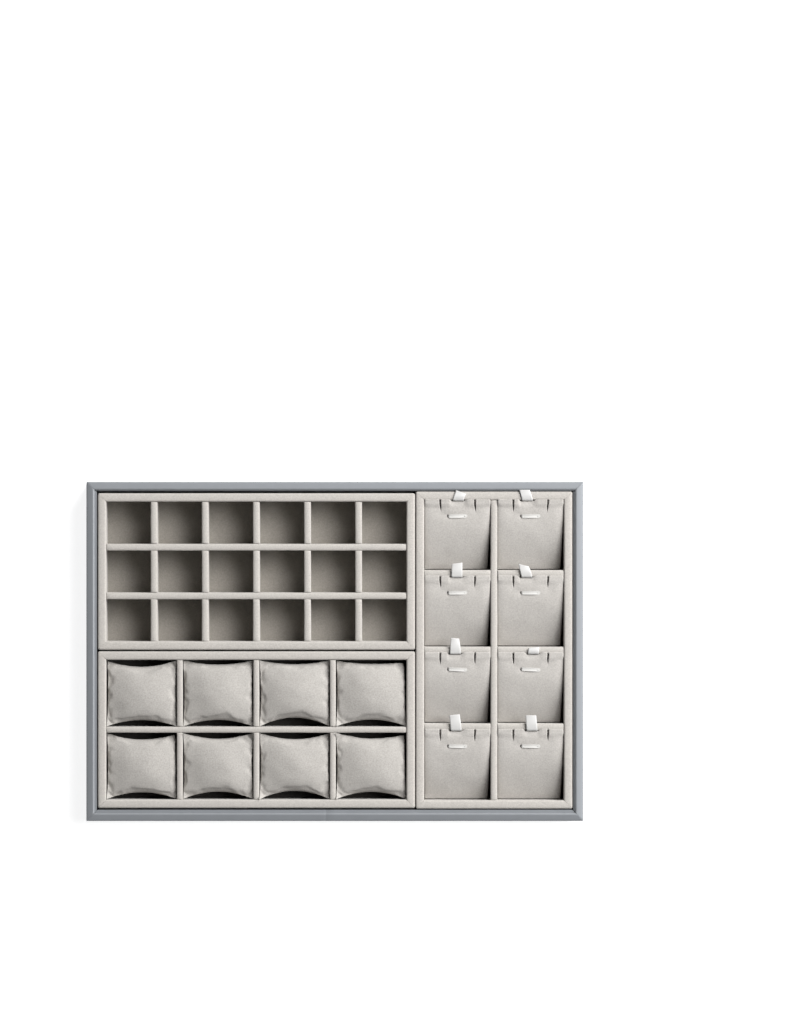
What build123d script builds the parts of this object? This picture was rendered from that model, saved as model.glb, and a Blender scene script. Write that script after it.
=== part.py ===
from build123d import *
import math
import os

# Jewelry display tray: a shallow mitred frame that holds three lift-out inserts.
# Millimetres. The tray lies flat and opens upwards, +Z. The short module stack is on the left, -X,
# and the upright module on the right, +X. The origin is the centre of the underside.

# Insert module. All three inserts are the same module, and two module widths make one length.
MODULE_WIDTH = 164.0
MODULE_PAIR_SPARE = 4.0  # what a module is longer than two of them side by side
MODULE_RAIL = 9.0
MODULE_CORNER = 3.0  # radius of the outer corners in plan
MODULE_ROUND = 2.0  # rounding of the two top edges of a rail
MODULE_FLOOR = 2.0
FLOOR_LEDGE = 3.0  # how far the floor board reaches into the rails
DIVIDER_ROUND = 2.5
DIVIDER_DROP = 1.0  # top of the dividers below the rails
NOTCH_PLAY = 0.1  # on each side of a half-lap

RING_COLUMNS = 6
RING_ROWS = 3
RING_DIVIDER = 7.0  # width of the dividers
WIDE_COLUMNS = 4  # cells along a pillow or pendant module
WIDE_ROWS = 2
PILLOW_DIVIDER = 6.2
PENDANT_DIVIDER = 7.0

# Room around the modules in the tray
GAP_LEFT = 2.8
GAP_BETWEEN = 0.7
GAP_RIGHT = 2.5
GAP_BEHIND = 1.2  # behind the upright module, and before it
GAP_BEFORE = 3.8
GAP_BACK = 3.0
GAP_STACK = 1.5  # between the two modules on the left

# Tray
TRAY_HEIGHT = 50.0
TRAY_WALL = 9.0
TRAY_ROUND = 1.6
TRAY_FALL = 1.4  # how far the top of a rail falls towards its outer edge
BASE_BOARD = 4.0
BASE_LEDGE = 4.0  # how far the base board reaches into the rails
LINING = 1.0
FELT = 1.0
FELT_INSET = 3.0
FELT_CORNER = 6.0
INSERT_DROP = 2.0  # rim of the inserts below the rim of the tray

# Stuffed pillows
PILLOW_PLAY = 0.5  # from a corner of the pillow to the walls of its cell
PILLOW_SEAT = 0.4  # over the floor of its cell
PILLOW_SEAM_DROP = 14.0  # seam below the rim of the insert
PILLOW_CROWN = 1.5  # crown above the rim of the insert
PILLOW_SAG_FRONT = 5.5  # how far the front and back seams pull in
PILLOW_SAG_SIDE = 1.2
PILLOW_FLATTENED = 1.5  # what the belly loses where it rests on the floor

# Sloping pendant pads, each a bent, padded board on a leg at the back and one at the front
PAD_BOARD = 5.0
PAD_CROWN = 5.0  # how far the padding swells over the straight board, halfway down
PAD_LEG = 4.0
PAD_TOE = 19.0  # height of the front edge over the floor
PAD_SIDE_PLAY = 0.5
PAD_FRONT_PLAY = 0.8
PAD_BACK_PLAY = 1.0  # leaves room for the pull ribbon
PAD_TOP_DROP = 1.5  # top edge below the rim of the insert
PAD_TAPER = 2.0  # what each side draws in from the top edge to the front
PAD_ROUND = 1.5  # along the top edge
PAD_CHAMFER = 1.0  # along the sides and the front of the slope
CHAIN_SLIT_SPACING = 36.0
CHAIN_SLIT_LENGTH = 11.5
CHAIN_SLIT_WIDTH = 1.8

# Keeper strap across each pad
STRAP_LENGTH = 20.7
STRAP_WIDTH = 3.8
STRAP_THICKNESS = 0.8
STRAP_SETBACK = 15.6  # from the top edge of the pad, in plan
TUCK_LENGTH = 2.6  # slit in the pad that takes the tongue of the strap
TUCK_WIDTH = 1.4
TUCK_PLAY = 0.2
TONGUE_DEPTH = 3.0

# Pull ribbon behind each pad: the glued run goes up the leg, the tail leans over the wall behind
RIBBON_WIDTH = 11.4
RIBBON_THICKNESS = 0.4
RIBBON_GLUED = 24.0
RIBBON_BEND = 2.4
RIBBON_LEAN = 12.0  # degrees that the tail rises
RIBBON_LIFT = 0.5  # under the tail, over the rim of the insert
RIBBON_CLEAR = 0.6  # from the end of a tail to the pad in the pocket behind
RIBBON_OVERHANG = 1.0  # what a tail of the back row passes the outer face of the insert
# Sideways place of each tail, and what it is cut shorter than its room over the wall behind,
# from pad 1 at the back left, row by row
RIBBON_SHIFT = (0.9, -3.5, -0.6, -4.1, -2.2, 2.9, -1.4, 1.4)
RIBBON_TRIM = (2.9, 0.0, 0.2, 0.9, 0.0, 1.8, 0.0, 0.3)

# Levels
base_bottom = FELT
base_top = base_bottom + BASE_BOARD
insert_bottom = base_top + LINING
cell_floor = insert_bottom + MODULE_FLOOR
insert_top = TRAY_HEIGHT - INSERT_DROP
divider_top = insert_top - DIVIDER_DROP
divider_middle = (cell_floor + divider_top) / 2

# Plan sizes
module_length = 2 * MODULE_WIDTH + MODULE_PAIR_SPARE
inner_length = GAP_LEFT + module_length + GAP_BETWEEN + MODULE_WIDTH + GAP_RIGHT
inner_width = GAP_BEHIND + module_length + GAP_BEFORE
tray_length = inner_length + 2 * TRAY_WALL
tray_width = inner_width + 2 * TRAY_WALL

stack_x = -inner_length / 2 + GAP_LEFT + module_length / 2
ring_y = inner_width / 2 - GAP_BACK - MODULE_WIDTH / 2
pillow_y = ring_y - MODULE_WIDTH - GAP_STACK
pendant_x = inner_length / 2 - GAP_RIGHT - MODULE_WIDTH / 2
pendant_y = inner_width / 2 - GAP_BEHIND - module_length / 2


def cell_size(span, count, divider):
    """Clear width of one cell, where dividers share the inside of a module's rails"""
    return (span - 2 * MODULE_RAIL - (count - 1) * divider) / count


def cell_centres(span, count, divider):
    """Centres of the cells along one direction, about the middle of the module"""
    pitch = cell_size(span, count, divider) + divider
    return [(i - (count - 1) / 2) * pitch for i in range(count)]


def divider_centres(span, count, divider):
    """Centres of the dividers between those cells"""
    pitch = cell_size(span, count, divider) + divider
    return [(i - (count - 2) / 2) * pitch for i in range(count - 1)]


def block(x_range, y_range, z_range):
    """A box between two limits along each axis"""
    size = [high - low for low, high in (x_range, y_range, z_range)]
    middle = [(high + low) / 2 for low, high in (x_range, y_range, z_range)]
    return Pos(*middle) * Box(*size)


def plate(length, width, corner, bottom, top):
    """A flat board about the origin, with rounded corners where corner isn't zero"""
    outline = RectangleRounded(length, width, corner) if corner else Rectangle(length, width)
    return Pos(0, 0, bottom) * extrude(outline, amount=top - bottom)


def rail_section(wall, bottom, top, rounding, ledge, ledge_top, fall=0.0):
    """Section of a rail in Y and Z: outer face at zero, with a rebate under the inner face

    The top falls towards the outer face."""
    points = [
        (0, bottom),
        (wall - ledge, bottom),
        (wall - ledge, ledge_top),
        (wall, ledge_top),
        (wall, top),
        (0, top - fall),
    ]
    face = make_face(Polyline(*points, close=True))
    rim = face.vertices().sort_by(Axis.Y)[-2:]
    return fillet(rim, rounding)


def mitred_rail(section, length, wall):
    """A rail along X, cut at 45 degrees at both ends, with its inner face towards +Y"""
    bar = extrude(Plane.YZ * section, amount=length / 2, both=True)
    half = length / 2
    saw = make_face(
        Polyline((-half, 0), (half, 0), (half - wall, wall), (-half + wall, wall), close=True)
    )
    return bar & extrude(saw, amount=TRAY_HEIGHT)


def four_rails(section, length, width, wall):
    """Front, right, back and left rail of a mitred frame about the origin"""
    long_rail = mitred_rail(section, length, wall)
    short_rail = mitred_rail(section, width, wall)
    return [
        Pos(0, -width / 2, 0) * long_rail,
        Pos(length / 2, 0, 0) * Rot(0, 0, 90) * short_rail,
        Pos(0, width / 2, 0) * Rot(0, 0, 180) * long_rail,
        Pos(-length / 2, 0, 0) * Rot(0, 0, 270) * short_rail,
    ]


def divider_bar(span, width):
    """A divider along X between the rails of a module, round along the top"""
    half = width / 2
    profile = Polyline(
        (-half, cell_floor), (half, cell_floor), (half, divider_top), (-half, divider_top), close=True
    )
    face = make_face(profile)
    face = fillet(face.vertices().group_by(Axis.Y)[-1], DIVIDER_ROUND)
    return extrude(Plane.YZ * face, amount=span / 2 - MODULE_RAIL, both=True)


def half_lapped(bar, width, centres, bottom, top):
    """The same bar with a notch at each centre, as wide as a divider and its play"""
    half = width / 2 + NOTCH_PLAY
    for centre in centres:
        bar = bar - block((centre - half, centre + half), (-width, width), (bottom, top))
    return bar


def insert_module(columns, rows, divider):
    """Rails, floor and half-lapped dividers of one module, its length along X, at the origin"""
    section = rail_section(
        MODULE_RAIL, insert_bottom, insert_top, MODULE_ROUND, FLOOR_LEDGE, cell_floor
    )
    blank = plate(module_length, MODULE_WIDTH, MODULE_CORNER, insert_bottom, insert_top)
    rails = [rail & blank for rail in four_rails(section, module_length, MODULE_WIDTH, MODULE_RAIL)]
    tucked = 2 * (MODULE_RAIL - FLOOR_LEDGE)
    floor = plate(module_length - tucked, MODULE_WIDTH - tucked, 0, insert_bottom, cell_floor)
    across = divider_centres(module_length, columns, divider)
    along = divider_centres(MODULE_WIDTH, rows, divider)
    long_bar = divider_bar(module_length, divider)
    long_bar = half_lapped(long_bar, divider, across, cell_floor, divider_middle)
    cross_bar = divider_bar(MODULE_WIDTH, divider)
    cross_bar = half_lapped(cross_bar, divider, along, divider_middle, divider_top)
    long_dividers = [Pos(0, y, 0) * long_bar for y in along]
    cross_dividers = [Pos(x, 0, 0) * Rot(0, 0, 90) * cross_bar for x in across]
    return rails, floor, long_dividers, cross_dividers


pillow_cell_length = cell_size(module_length, WIDE_COLUMNS, PILLOW_DIVIDER)
pillow_cell_width = cell_size(MODULE_WIDTH, WIDE_ROWS, PILLOW_DIVIDER)
pocket_length = cell_size(module_length, WIDE_COLUMNS, PENDANT_DIVIDER)
pocket_width = cell_size(MODULE_WIDTH, WIDE_ROWS, PENDANT_DIVIDER)


def pillow():
    """Stuffed pillow about the Z axis: pointed corners, seams that pull in, full crown and belly"""
    seam = insert_top - PILLOW_SEAM_DROP
    crown = insert_top + PILLOW_CROWN
    seat = cell_floor + PILLOW_SEAT
    belly = seat - PILLOW_FLATTENED
    x = pillow_cell_length / 2 - PILLOW_PLAY
    y = pillow_cell_width / 2 - PILLOW_PLAY
    seam_outline = [
        ThreePointArc((-x, -y), (0, PILLOW_SAG_FRONT - y), (x, -y)),
        ThreePointArc((x, -y), (x - PILLOW_SAG_SIDE, 0), (x, y)),
        ThreePointArc((x, y), (0, y - PILLOW_SAG_FRONT), (-x, y)),
        ThreePointArc((-x, y), (PILLOW_SAG_SIDE - x, 0), (-x, -y)),
    ]
    body = Pos(0, 0, seat) * extrude(make_face(seam_outline), amount=crown - seat)
    for half, plane in ((x, Plane.XZ), (y, Plane.YZ)):
        over = ThreePointArc((-half, seam), (0, crown), (half, seam))
        under = ThreePointArc((half, seam), (0, belly), (-half, seam))
        body = body & extrude(plane * make_face([over, under]), amount=x + y, both=True)
    return body


# The pad stands in a pocket of the pendant module, which is turned a quarter: X is across it here
pad_half_width = pocket_width / 2 - PAD_SIDE_PLAY
pad_front = -pocket_length / 2 + PAD_FRONT_PLAY
pad_back = pocket_length / 2 - PAD_BACK_PLAY
pad_low = cell_floor + PAD_TOE
pad_high = insert_top - PAD_TOP_DROP
pad_slope = (pad_high - pad_low) / (pad_back - pad_front)
pad_angle = math.atan(pad_slope)

# The crowned top of the pad is an arc in Y and Z, whose centre lies below the board
pad_span = math.hypot(pad_back - pad_front, pad_high - pad_low)
crown_radius = ((pad_span / 2) ** 2 + PAD_CROWN**2) / (2 * PAD_CROWN)
crown_depth = crown_radius - PAD_CROWN
crown_y = (pad_front + pad_back) / 2 + crown_depth * math.sin(pad_angle)
crown_z = (pad_low + pad_high) / 2 - crown_depth * math.cos(pad_angle)


def crown_height(y):
    """Height of the crowned top of a pad at a place along Y"""
    return crown_z + math.sqrt(crown_radius**2 - (y - crown_y) ** 2)


tongue_x = -STRAP_LENGTH / 2 + TUCK_WIDTH / 2
strap_y = pad_back - STRAP_SETBACK
strap_z = crown_height(strap_y)
strap_plane = Plane(
    origin=(0, strap_y, strap_z),
    x_dir=(1, 0, 0),
    z_dir=(0, strap_y - crown_y, strap_z - crown_z),
)


def pad():
    """Bent board on two legs, narrower to the front, its padding crowned, with chain slits at the top"""
    drop = PAD_BOARD / math.cos(pad_angle)
    rise = PAD_LEG * pad_slope
    middle = (pad_front + pad_back) / 2
    top = ThreePointArc(
        (pad_front, pad_low), (middle, crown_height(middle)), (pad_back, pad_high)
    )
    under = Polyline(
        (pad_back, pad_high),
        (pad_back, cell_floor),
        (pad_back - PAD_LEG, cell_floor),
        (pad_back - PAD_LEG, pad_high - drop - rise),
        (pad_front + PAD_LEG, pad_low - drop + rise),
        (pad_front + PAD_LEG, cell_floor),
        (pad_front, cell_floor),
        (pad_front, pad_low),
    )
    face = make_face([top, under])
    face = fillet(face.vertices().sort_by_distance((pad_back, pad_high))[0], PAD_ROUND)
    board = extrude(Plane.YZ * face, amount=pad_half_width, both=True)
    front_half = pad_half_width - PAD_TAPER
    plan = Polyline(
        (-pad_half_width, pad_back),
        (pad_half_width, pad_back),
        (front_half, pad_front),
        (-front_half, pad_front),
        close=True,
    )
    board = board & extrude(make_face(plan), amount=insert_top)
    crowned = board.faces().sort_by(lambda f: f.normal_at().Z * f.area)[-1]
    rolled = crowned.edges().sort_by(Axis.Y)[-1]
    board = chamfer([edge for edge in crowned.edges() if edge != rolled], PAD_CHAMFER)
    half = CHAIN_SLIT_WIDTH / 2
    tip = pad_back - CHAIN_SLIT_LENGTH
    mouth = pad_back + PAD_ROUND
    slit = make_face(Polyline((-half, mouth), (half, mouth), (0, tip), close=True))
    deep = 2 * CHAIN_SLIT_LENGTH
    cutter = Pos(0, 0, pad_high - deep) * extrude(slit, amount=deep + PAD_CROWN)
    for side in (-1, 1):
        board = board - Pos(side * CHAIN_SLIT_SPACING / 2, 0, 0) * cutter
    tuck_depth = 2 * (PAD_BOARD + PAD_CROWN)
    return board - strap_plane * Pos(tongue_x, 0, 0) * Box(TUCK_WIDTH, TUCK_LENGTH, tuck_depth)


def strap():
    """Flat pill on the slope of the pad, with a tongue through the tuck slit at its left end"""
    pill = extrude(SlotOverall(STRAP_LENGTH, STRAP_WIDTH), amount=STRAP_THICKNESS)
    tongue = block(
        (tongue_x - TUCK_WIDTH / 2 + TUCK_PLAY, tongue_x + TUCK_WIDTH / 2 - TUCK_PLAY),
        (-TUCK_LENGTH / 2 + TUCK_PLAY, TUCK_LENGTH / 2 - TUCK_PLAY),
        (-TONGUE_DEPTH, STRAP_THICKNESS / 2),
    )
    return strap_plane * (pill + tongue)


def ribbon(reach):
    """Ribbon glued up the back of the leg, bent over at the rim, its tail reaching over the wall"""
    middle_y = pad_back + RIBBON_THICKNESS / 2
    lean = math.radians(RIBBON_LEAN)
    knee_z = insert_top + RIBBON_LIFT + RIBBON_THICKNESS / 2
    start = (0, middle_y, knee_z - RIBBON_GLUED)
    knee = (0, middle_y, knee_z)
    end = (0, pad_back + reach, knee_z + (reach - RIBBON_THICKNESS / 2) * math.tan(lean))
    path = FilletPolyline(start, knee, end, radius=RIBBON_BEND)
    section = Plane(origin=start, x_dir=(1, 0, 0), z_dir=(0, 0, 1)) * Rectangle(
        RIBBON_WIDTH, RIBBON_THICKNESS
    )
    return sweep(section, path=path)


def build_tray():
    """The mitred frame with its base board, lining and felt"""
    section = rail_section(
        TRAY_WALL, base_bottom, TRAY_HEIGHT, TRAY_ROUND, BASE_LEDGE, base_top, TRAY_FALL
    )
    rails = four_rails(section, tray_length, tray_width, TRAY_WALL)
    nodes = {f"frame_rail_{side}": rail for side, rail in zip(SIDES, rails)}
    reach = 2 * BASE_LEDGE
    nodes["base_board"] = plate(inner_length + reach, inner_width + reach, 0, base_bottom, base_top)
    nodes["base_lining"] = plate(inner_length, inner_width, 0, base_top, insert_bottom)
    inset = 2 * FELT_INSET
    nodes["felt_underside"] = plate(tray_length - inset, tray_width - inset, FELT_CORNER, 0, FELT)
    return nodes


def build_insert(name, columns, rows, divider, place, sides):
    """One module at its place, its rails named by the sides that they end up on"""
    rails, floor, long_dividers, cross_dividers = insert_module(columns, rows, divider)
    nodes = {f"{name}_rail_{side}": place * rail for side, rail in zip(sides, rails)}
    nodes[f"{name}_floor"] = place * floor
    nodes[f"{name}_long_dividers"] = Compound([place * bar for bar in long_dividers])
    nodes[f"{name}_cross_dividers"] = Compound([place * bar for bar in cross_dividers])
    return nodes


def cell_places(columns_x, rows_y, x, y):
    """Centres of the cells from the back left, row by row"""
    return [(x + cx, y + cy) for cy in sorted(rows_y, reverse=True) for cx in columns_x]


SIDES = ["front", "right", "back", "left"]
TURNED_SIDES = SIDES[1:] + SIDES[:1]

ring_place = Pos(stack_x, ring_y, 0)
pillow_place = Pos(stack_x, pillow_y, 0)
pendant_place = Pos(pendant_x, pendant_y, 0) * Rot(0, 0, 90)
ring_grid = (RING_COLUMNS, RING_ROWS, RING_DIVIDER)
pillow_grid = (WIDE_COLUMNS, WIDE_ROWS, PILLOW_DIVIDER)
pendant_grid = (WIDE_COLUMNS, WIDE_ROWS, PENDANT_DIVIDER)

nodes = build_tray()
nodes |= build_insert("ring_insert", *ring_grid, ring_place, SIDES)
nodes |= build_insert("pillow_insert", *pillow_grid, pillow_place, SIDES)
nodes |= build_insert("pendant_insert", *pendant_grid, pendant_place, TURNED_SIDES)

one_pillow = pillow()
columns = cell_centres(module_length, WIDE_COLUMNS, PILLOW_DIVIDER)
rows = cell_centres(MODULE_WIDTH, WIDE_ROWS, PILLOW_DIVIDER)
for number, (x, y) in enumerate(cell_places(columns, rows, stack_x, pillow_y), 1):
    nodes[f"pillow_{number}"] = Pos(x, y, 0) * one_pillow

one_pad = pad()
one_strap = strap()
reach_over_rail = PAD_BACK_PLAY + MODULE_RAIL + RIBBON_OVERHANG
reach_over_divider = PAD_BACK_PLAY + PENDANT_DIVIDER + PAD_FRONT_PLAY - RIBBON_CLEAR
columns = cell_centres(MODULE_WIDTH, WIDE_ROWS, PENDANT_DIVIDER)
rows = cell_centres(module_length, WIDE_COLUMNS, PENDANT_DIVIDER)
for number, (x, y) in enumerate(cell_places(columns, rows, pendant_x, pendant_y), 1):
    place = Pos(x, y, 0)
    nodes[f"pad_{number}"] = place * one_pad
    nodes[f"pad_strap_{number}"] = place * one_strap
    turn = (number - 1) % len(RIBBON_SHIFT)
    room = reach_over_rail if number <= WIDE_ROWS else reach_over_divider
    tail = ribbon(room - RIBBON_TRIM[turn])
    nodes[f"pad_ribbon_{number}"] = place * Pos(RIBBON_SHIFT[turn], 0, 0) * tail

os.makedirs("parts", exist_ok=True)
for name, shape in nodes.items():
    export_step(shape, f"parts/{name}.step")
print(len(nodes), "nodes, tray", round(tray_length, 2), "x", round(tray_width, 2), "x", TRAY_HEIGHT)
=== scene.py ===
"""Looks of a jewelry display tray: a wrapped frame, three suede inserts, pillows and pendant pads.

Metres. The tray lies flat in the frame of its construction, +Z up, its long side along X.
"""

import math

import bmesh
import bpy
import numpy as np
from bpy.props import FloatProperty, FloatVectorProperty, IntProperty, PointerProperty
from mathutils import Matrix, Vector, noise


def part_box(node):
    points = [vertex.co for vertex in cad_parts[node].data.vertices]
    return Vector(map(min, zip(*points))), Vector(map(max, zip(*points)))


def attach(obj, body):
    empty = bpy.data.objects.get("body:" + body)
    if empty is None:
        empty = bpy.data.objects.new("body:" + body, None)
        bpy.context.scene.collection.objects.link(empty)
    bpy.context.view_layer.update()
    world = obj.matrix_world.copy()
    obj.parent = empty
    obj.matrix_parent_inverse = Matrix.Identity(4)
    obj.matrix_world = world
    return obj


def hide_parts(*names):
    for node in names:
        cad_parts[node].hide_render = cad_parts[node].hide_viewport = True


bl_info = {
    "name": "Jewelry Display Tray",
    "version": (1, 0, 0),
    "blender": (4, 5, 0),
    "location": "View3D > Sidebar > Display Tray",
    "description": "Dresses a display tray with wrapped rails, suede inserts, pillows and pads",
    "category": "Object",
}

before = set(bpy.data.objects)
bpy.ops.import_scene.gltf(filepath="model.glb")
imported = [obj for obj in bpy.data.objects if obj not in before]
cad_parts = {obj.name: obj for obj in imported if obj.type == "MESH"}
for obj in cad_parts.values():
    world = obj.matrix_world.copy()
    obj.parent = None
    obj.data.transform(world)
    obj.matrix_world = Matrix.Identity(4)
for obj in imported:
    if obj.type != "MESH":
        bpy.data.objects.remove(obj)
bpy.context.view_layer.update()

MM = 0.001
PHOTO_WIDTH = 790
PHOTO_HEIGHT = 1035
SIDES = ("front", "right", "back", "left")
INSERTS = ("ring_insert", "pillow_insert", "pendant_insert")
TURN_INS = (2.8, 1.5, 0.7, 1.9)  # millimetres that the wrap stands out on the inner face of each rail
SWAY_SEED = 1  # without a seed, the suede of the rails would stray differently in each run


def joined_box(names):
    """Lowest and highest corner of several nodes together"""
    corners = [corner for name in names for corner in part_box(name)]
    low = Vector([min(corner[axis] for corner in corners) for axis in range(3)])
    high = Vector([max(corner[axis] for corner in corners) for axis in range(3)])
    return low, high


TRAY_LOW, TRAY_HIGH = joined_box([f"frame_rail_{side}" for side in SIDES])


def millimetres(name, value, description, low=0.0, high=1.0):
    """A length that a user can change, given in millimetres here and kept in metres"""
    return FloatProperty(
        name=name,
        description=description,
        default=value * MM,
        min=low,
        max=high,
        unit="LENGTH",
        precision=5,
    )


def share(name, value, description):
    """A factor from 0 to 1"""
    return FloatProperty(
        name=name, description=description, default=value, min=0.0, max=1.0, subtype="FACTOR"
    )


def colour(name, value, description):
    """A colour, linear"""
    return FloatVectorProperty(
        name=name, description=description, default=value, size=3, min=0.0, max=1.0, subtype="COLOR"
    )


class WrapSettings(bpy.types.PropertyGroup):
    """Frame rails in artificial leather"""

    arris: millimetres("Arris", 2.0, "Rounding of the outer top edge of a frame rail")
    inner_arris: millimetres("Inner arris", 2.0, "Rounding of the inner top edge of a frame rail")
    turn_drop: millimetres("Turn-in drop", 2.4, "Turned-in edge of the wrap, below the top of a rail")
    fall: millimetres("Fall", 1.8, "How far the top of a frame rail falls towards its outer edge")
    crown: millimetres("Crown", 0.06, "How far the top of a frame rail swells")
    mitre_lip: millimetres("Mitre lip", 0.42, "Rounding of the wrap where two rails meet")
    joint_place: millimetres("Joint place", -10.0, "Where the wrap's butt joint crosses", -1.0)
    joint_depth: millimetres("Joint depth", 0.07, "Depth of the butt joint in the wrap")
    tone: colour("Tone", (0.125, 0.132, 0.141), "Colour of the artificial leather")
    # Lighter colour of the wrap on its arrises: a painted highlight
    arris_highlight_tone: colour("Arris highlight tone", (0.185, 0.193, 0.203), "Colour of the wrap on its arrises")


class SuedeSettings(bpy.types.PropertyGroup):
    """Suede of the inserts, pillows and pads"""

    rim_round: millimetres("Rim rounding", 2.0, "Rounding of the top edges of an insert rail")
    corner: millimetres("Corner", 2.0, "Radius of the outer corners of an insert")
    mitre_lip: millimetres("Mitre lip", 0.45, "Rounding of the suede where two rails meet")
    sway: millimetres("Sway", 0.14, "How far the suede strays from a straight line")
    dome: millimetres("Dome", 1.3, "How far the domed top of a divider falls to its sides")
    tone: colour("Tone", (0.382, 0.362, 0.337), "Colour of the suede of rails and dividers")
    # Suede of the cell floors, darker than the suede of the rails: painted shade that deepens the cells
    cell_floor_tone_with_painted_shade: colour("Cell floor tone with painted shade", (0.265, 0.246, 0.22), "Colour of the suede in the cells")
    # Nearly black suede under the pillows: painted shade that darkens the gaps round the pillows
    under_pillow_painted_shade_tone: colour("Under-pillow painted shade", (0.06, 0.057, 0.053), "Colour of the floor under the pillows")
    pillow_tone: colour("Pillow tone", (0.338, 0.322, 0.302), "Colour of the pillows")
    pad_tone: colour("Pad tone", (0.375, 0.357, 0.336), "Colour of the pendant pads")


class PillowSettings(bpy.types.PropertyGroup):
    """Stuffed pillows"""

    steps: IntProperty(name="Steps", description="Squares across a pillow", default=40, min=8)
    seam_drop: millimetres("Seam drop", 9.5, "Seam below the rim of the insert")
    side_rise: millimetres("Side rise", 3.5, "How much higher the side seams run")
    crown: millimetres("Crown", 2.0, "Crown above the rim of the insert", -1.0)
    sag_side: millimetres("Side sag", 0.9, "How far the side seams pull in")
    flap: millimetres("Flap", 8.5, "Leg of the flat triangle at a raised corner")
    flap_rise: millimetres("Flap rise", 4.5, "How far the point of a flap stands up")
    pressure: FloatProperty(name="Pressure", description="Of the stuffing", default=4.0)
    most_move: millimetres("Most move", 0.9, "Cap on what the stuffing moves the cover")


class PadSettings(bpy.types.PropertyGroup):
    """Sloping pendant pads"""

    board: millimetres("Board", 5.0, "Thickness of the slope")
    leg: millimetres("Leg", 4.0, "Thickness of the legs")
    toe: millimetres("Toe", 19.0, "Height of the front edge")
    crown: millimetres("Crown", 5.0, "How far the padding swells over the straight board")
    top_drop: millimetres("Top drop", 1.5, "Top edge below the rim of the insert")
    top_round: millimetres("Top rounding", 1.6, "Rounding of the top edge")
    roll: millimetres("Roll", 1.6, "Rounding of the front edge")
    lip: millimetres("Lip", 1.0, "How far the cover of the top edge stands up where it leans on the wall")
    puff: millimetres("Puff", 0.5, "How far the padding strays")
    taper: millimetres("Taper", 2.8, "What the right side draws in towards the front")
    flare: millimetres("Flare", 0.42, "How far the cover stands out at the top edge")
    side_fall: millimetres("Side fall", 0.8, "How far the padding falls to the right side")
    slit_spacing: millimetres("Slit spacing", 36.0, "Between the two chain slits")
    slit_length: millimetres("Slit length", 11.2, "Chain slit, from the back of the pad")
    slit_gape: millimetres("Slit gape", 1.7, "Chain slit at its widest")
    tuck_gape: millimetres("Tuck gape", 1.6, "Tuck hole of the keeper strap")


class TrimSettings(bpy.types.PropertyGroup):
    """Keeper straps and pull ribbons"""

    strap_arch: millimetres("Strap arch", 0.7, "How far a strap stands off its pad")
    strap_tone: colour("Strap tone", (0.51, 0.50, 0.48), "Colour of the keeper straps")
    ribbon_width: millimetres("Ribbon width", 11.4, "Width of a pull ribbon")
    ribbon_thickness: millimetres("Ribbon thickness", 0.4, "Thickness of a pull ribbon")
    ribbon_tone: colour("Ribbon tone", (0.475, 0.47, 0.46), "Colour of the pull ribbons")


class StageSettings(bpy.types.PropertyGroup):
    """Camera, lamp and floor"""

    camera_height: millimetres("Camera height", 7000.0, "Camera over the rim", 0.0, 100.0)
    pixel: millimetres("Pixel", 1.0457, "What one pixel of the photograph spans at the rim")
    tray_middle: FloatVectorProperty(
        name="Tray middle",
        description="Where the middle of the tray is in the photograph, in pixels",
        default=(334.85, 651.45),
        size=2,
    )
    lamp_place: FloatVectorProperty(
        name="Lamp place",
        description="Middle of the lamp",
        default=(2.28, 1.48, 2.36),
        subtype="TRANSLATION",
    )
    lamp_size: millimetres("Lamp size", 3300.0, "Side of the square lamp", 0.1, 10.0)
    lamp_power: FloatProperty(name="Lamp power", description="Of the lamp", default=368.0, unit="POWER")
    sky: share("Sky", 0.12, "Strength of the even light from all around")


SETTINGS = {
    "tray_wrap": WrapSettings,
    "tray_suede": SuedeSettings,
    "tray_pillow": PillowSettings,
    "tray_pad": PadSettings,
    "tray_trim": TrimSettings,
    "tray_stage": StageSettings,
}


def mesh_piece(name, vertices, faces, smooth_angle=38.0, attributes=None):
    """A mesh object from points and faces, with smooth shading up to an angle"""
    mesh = bpy.data.meshes.new(name)
    mesh.from_pydata([tuple(v) for v in vertices], [], faces)
    mesh.validate()
    mesh.shade_smooth()
    mesh.set_sharp_from_angle(angle=math.radians(smooth_angle))
    for label, values in (attributes or {}).items():
        mesh.attributes.new(label, "FLOAT", "POINT").data.foreach_set("value", values)
    piece = bpy.data.objects.new(name, mesh)
    bpy.context.scene.collection.objects.link(piece)
    return piece


def dress(piece, body, material, nodes=()):
    """Gives a piece its material and its body, and hides the nodes that it stands for"""
    piece.data.materials.clear()
    piece.data.materials.append(material)
    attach(piece, body)
    if nodes:
        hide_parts(*nodes)
    return piece


def dress_node(name, material):
    """Gives a node of the construction its material"""
    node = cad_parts[name]
    node.data.materials.clear()
    node.data.materials.append(material)


def tube_faces(rings, count, capped=True):
    """Faces between rings of points that each close on themselves, with flat ends"""
    faces = []
    for ring in range(rings - 1):
        for i in range(count):
            a, b = ring * count + i, ring * count + (i + 1) % count
            faces.append((a, b, b + count, a + count))
    if capped:
        faces.append(tuple(range(count))[::-1])
        faces.append(tuple((rings - 1) * count + i for i in range(count)))
    return faces


def merged(piece, distance=0.002 * MM):
    """Merges points that coincide and turns the faces outwards"""
    work = bmesh.new()
    work.from_mesh(piece.data)
    bmesh.ops.remove_doubles(work, verts=work.verts, dist=distance)
    bmesh.ops.dissolve_degenerate(work, edges=work.edges, dist=distance)
    bmesh.ops.recalc_face_normals(work, faces=work.faces)
    work.to_mesh(piece.data)
    work.free()
    return piece


def arc_points(centre, radius, start, end, steps):
    """Points of an arc in a plane, angles in degrees"""
    angles = [math.radians(start + (end - start) * i / steps) for i in range(steps + 1)]
    return [(centre[0] + radius * math.cos(a), centre[1] + radius * math.sin(a)) for a in angles]


# Rails

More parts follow.
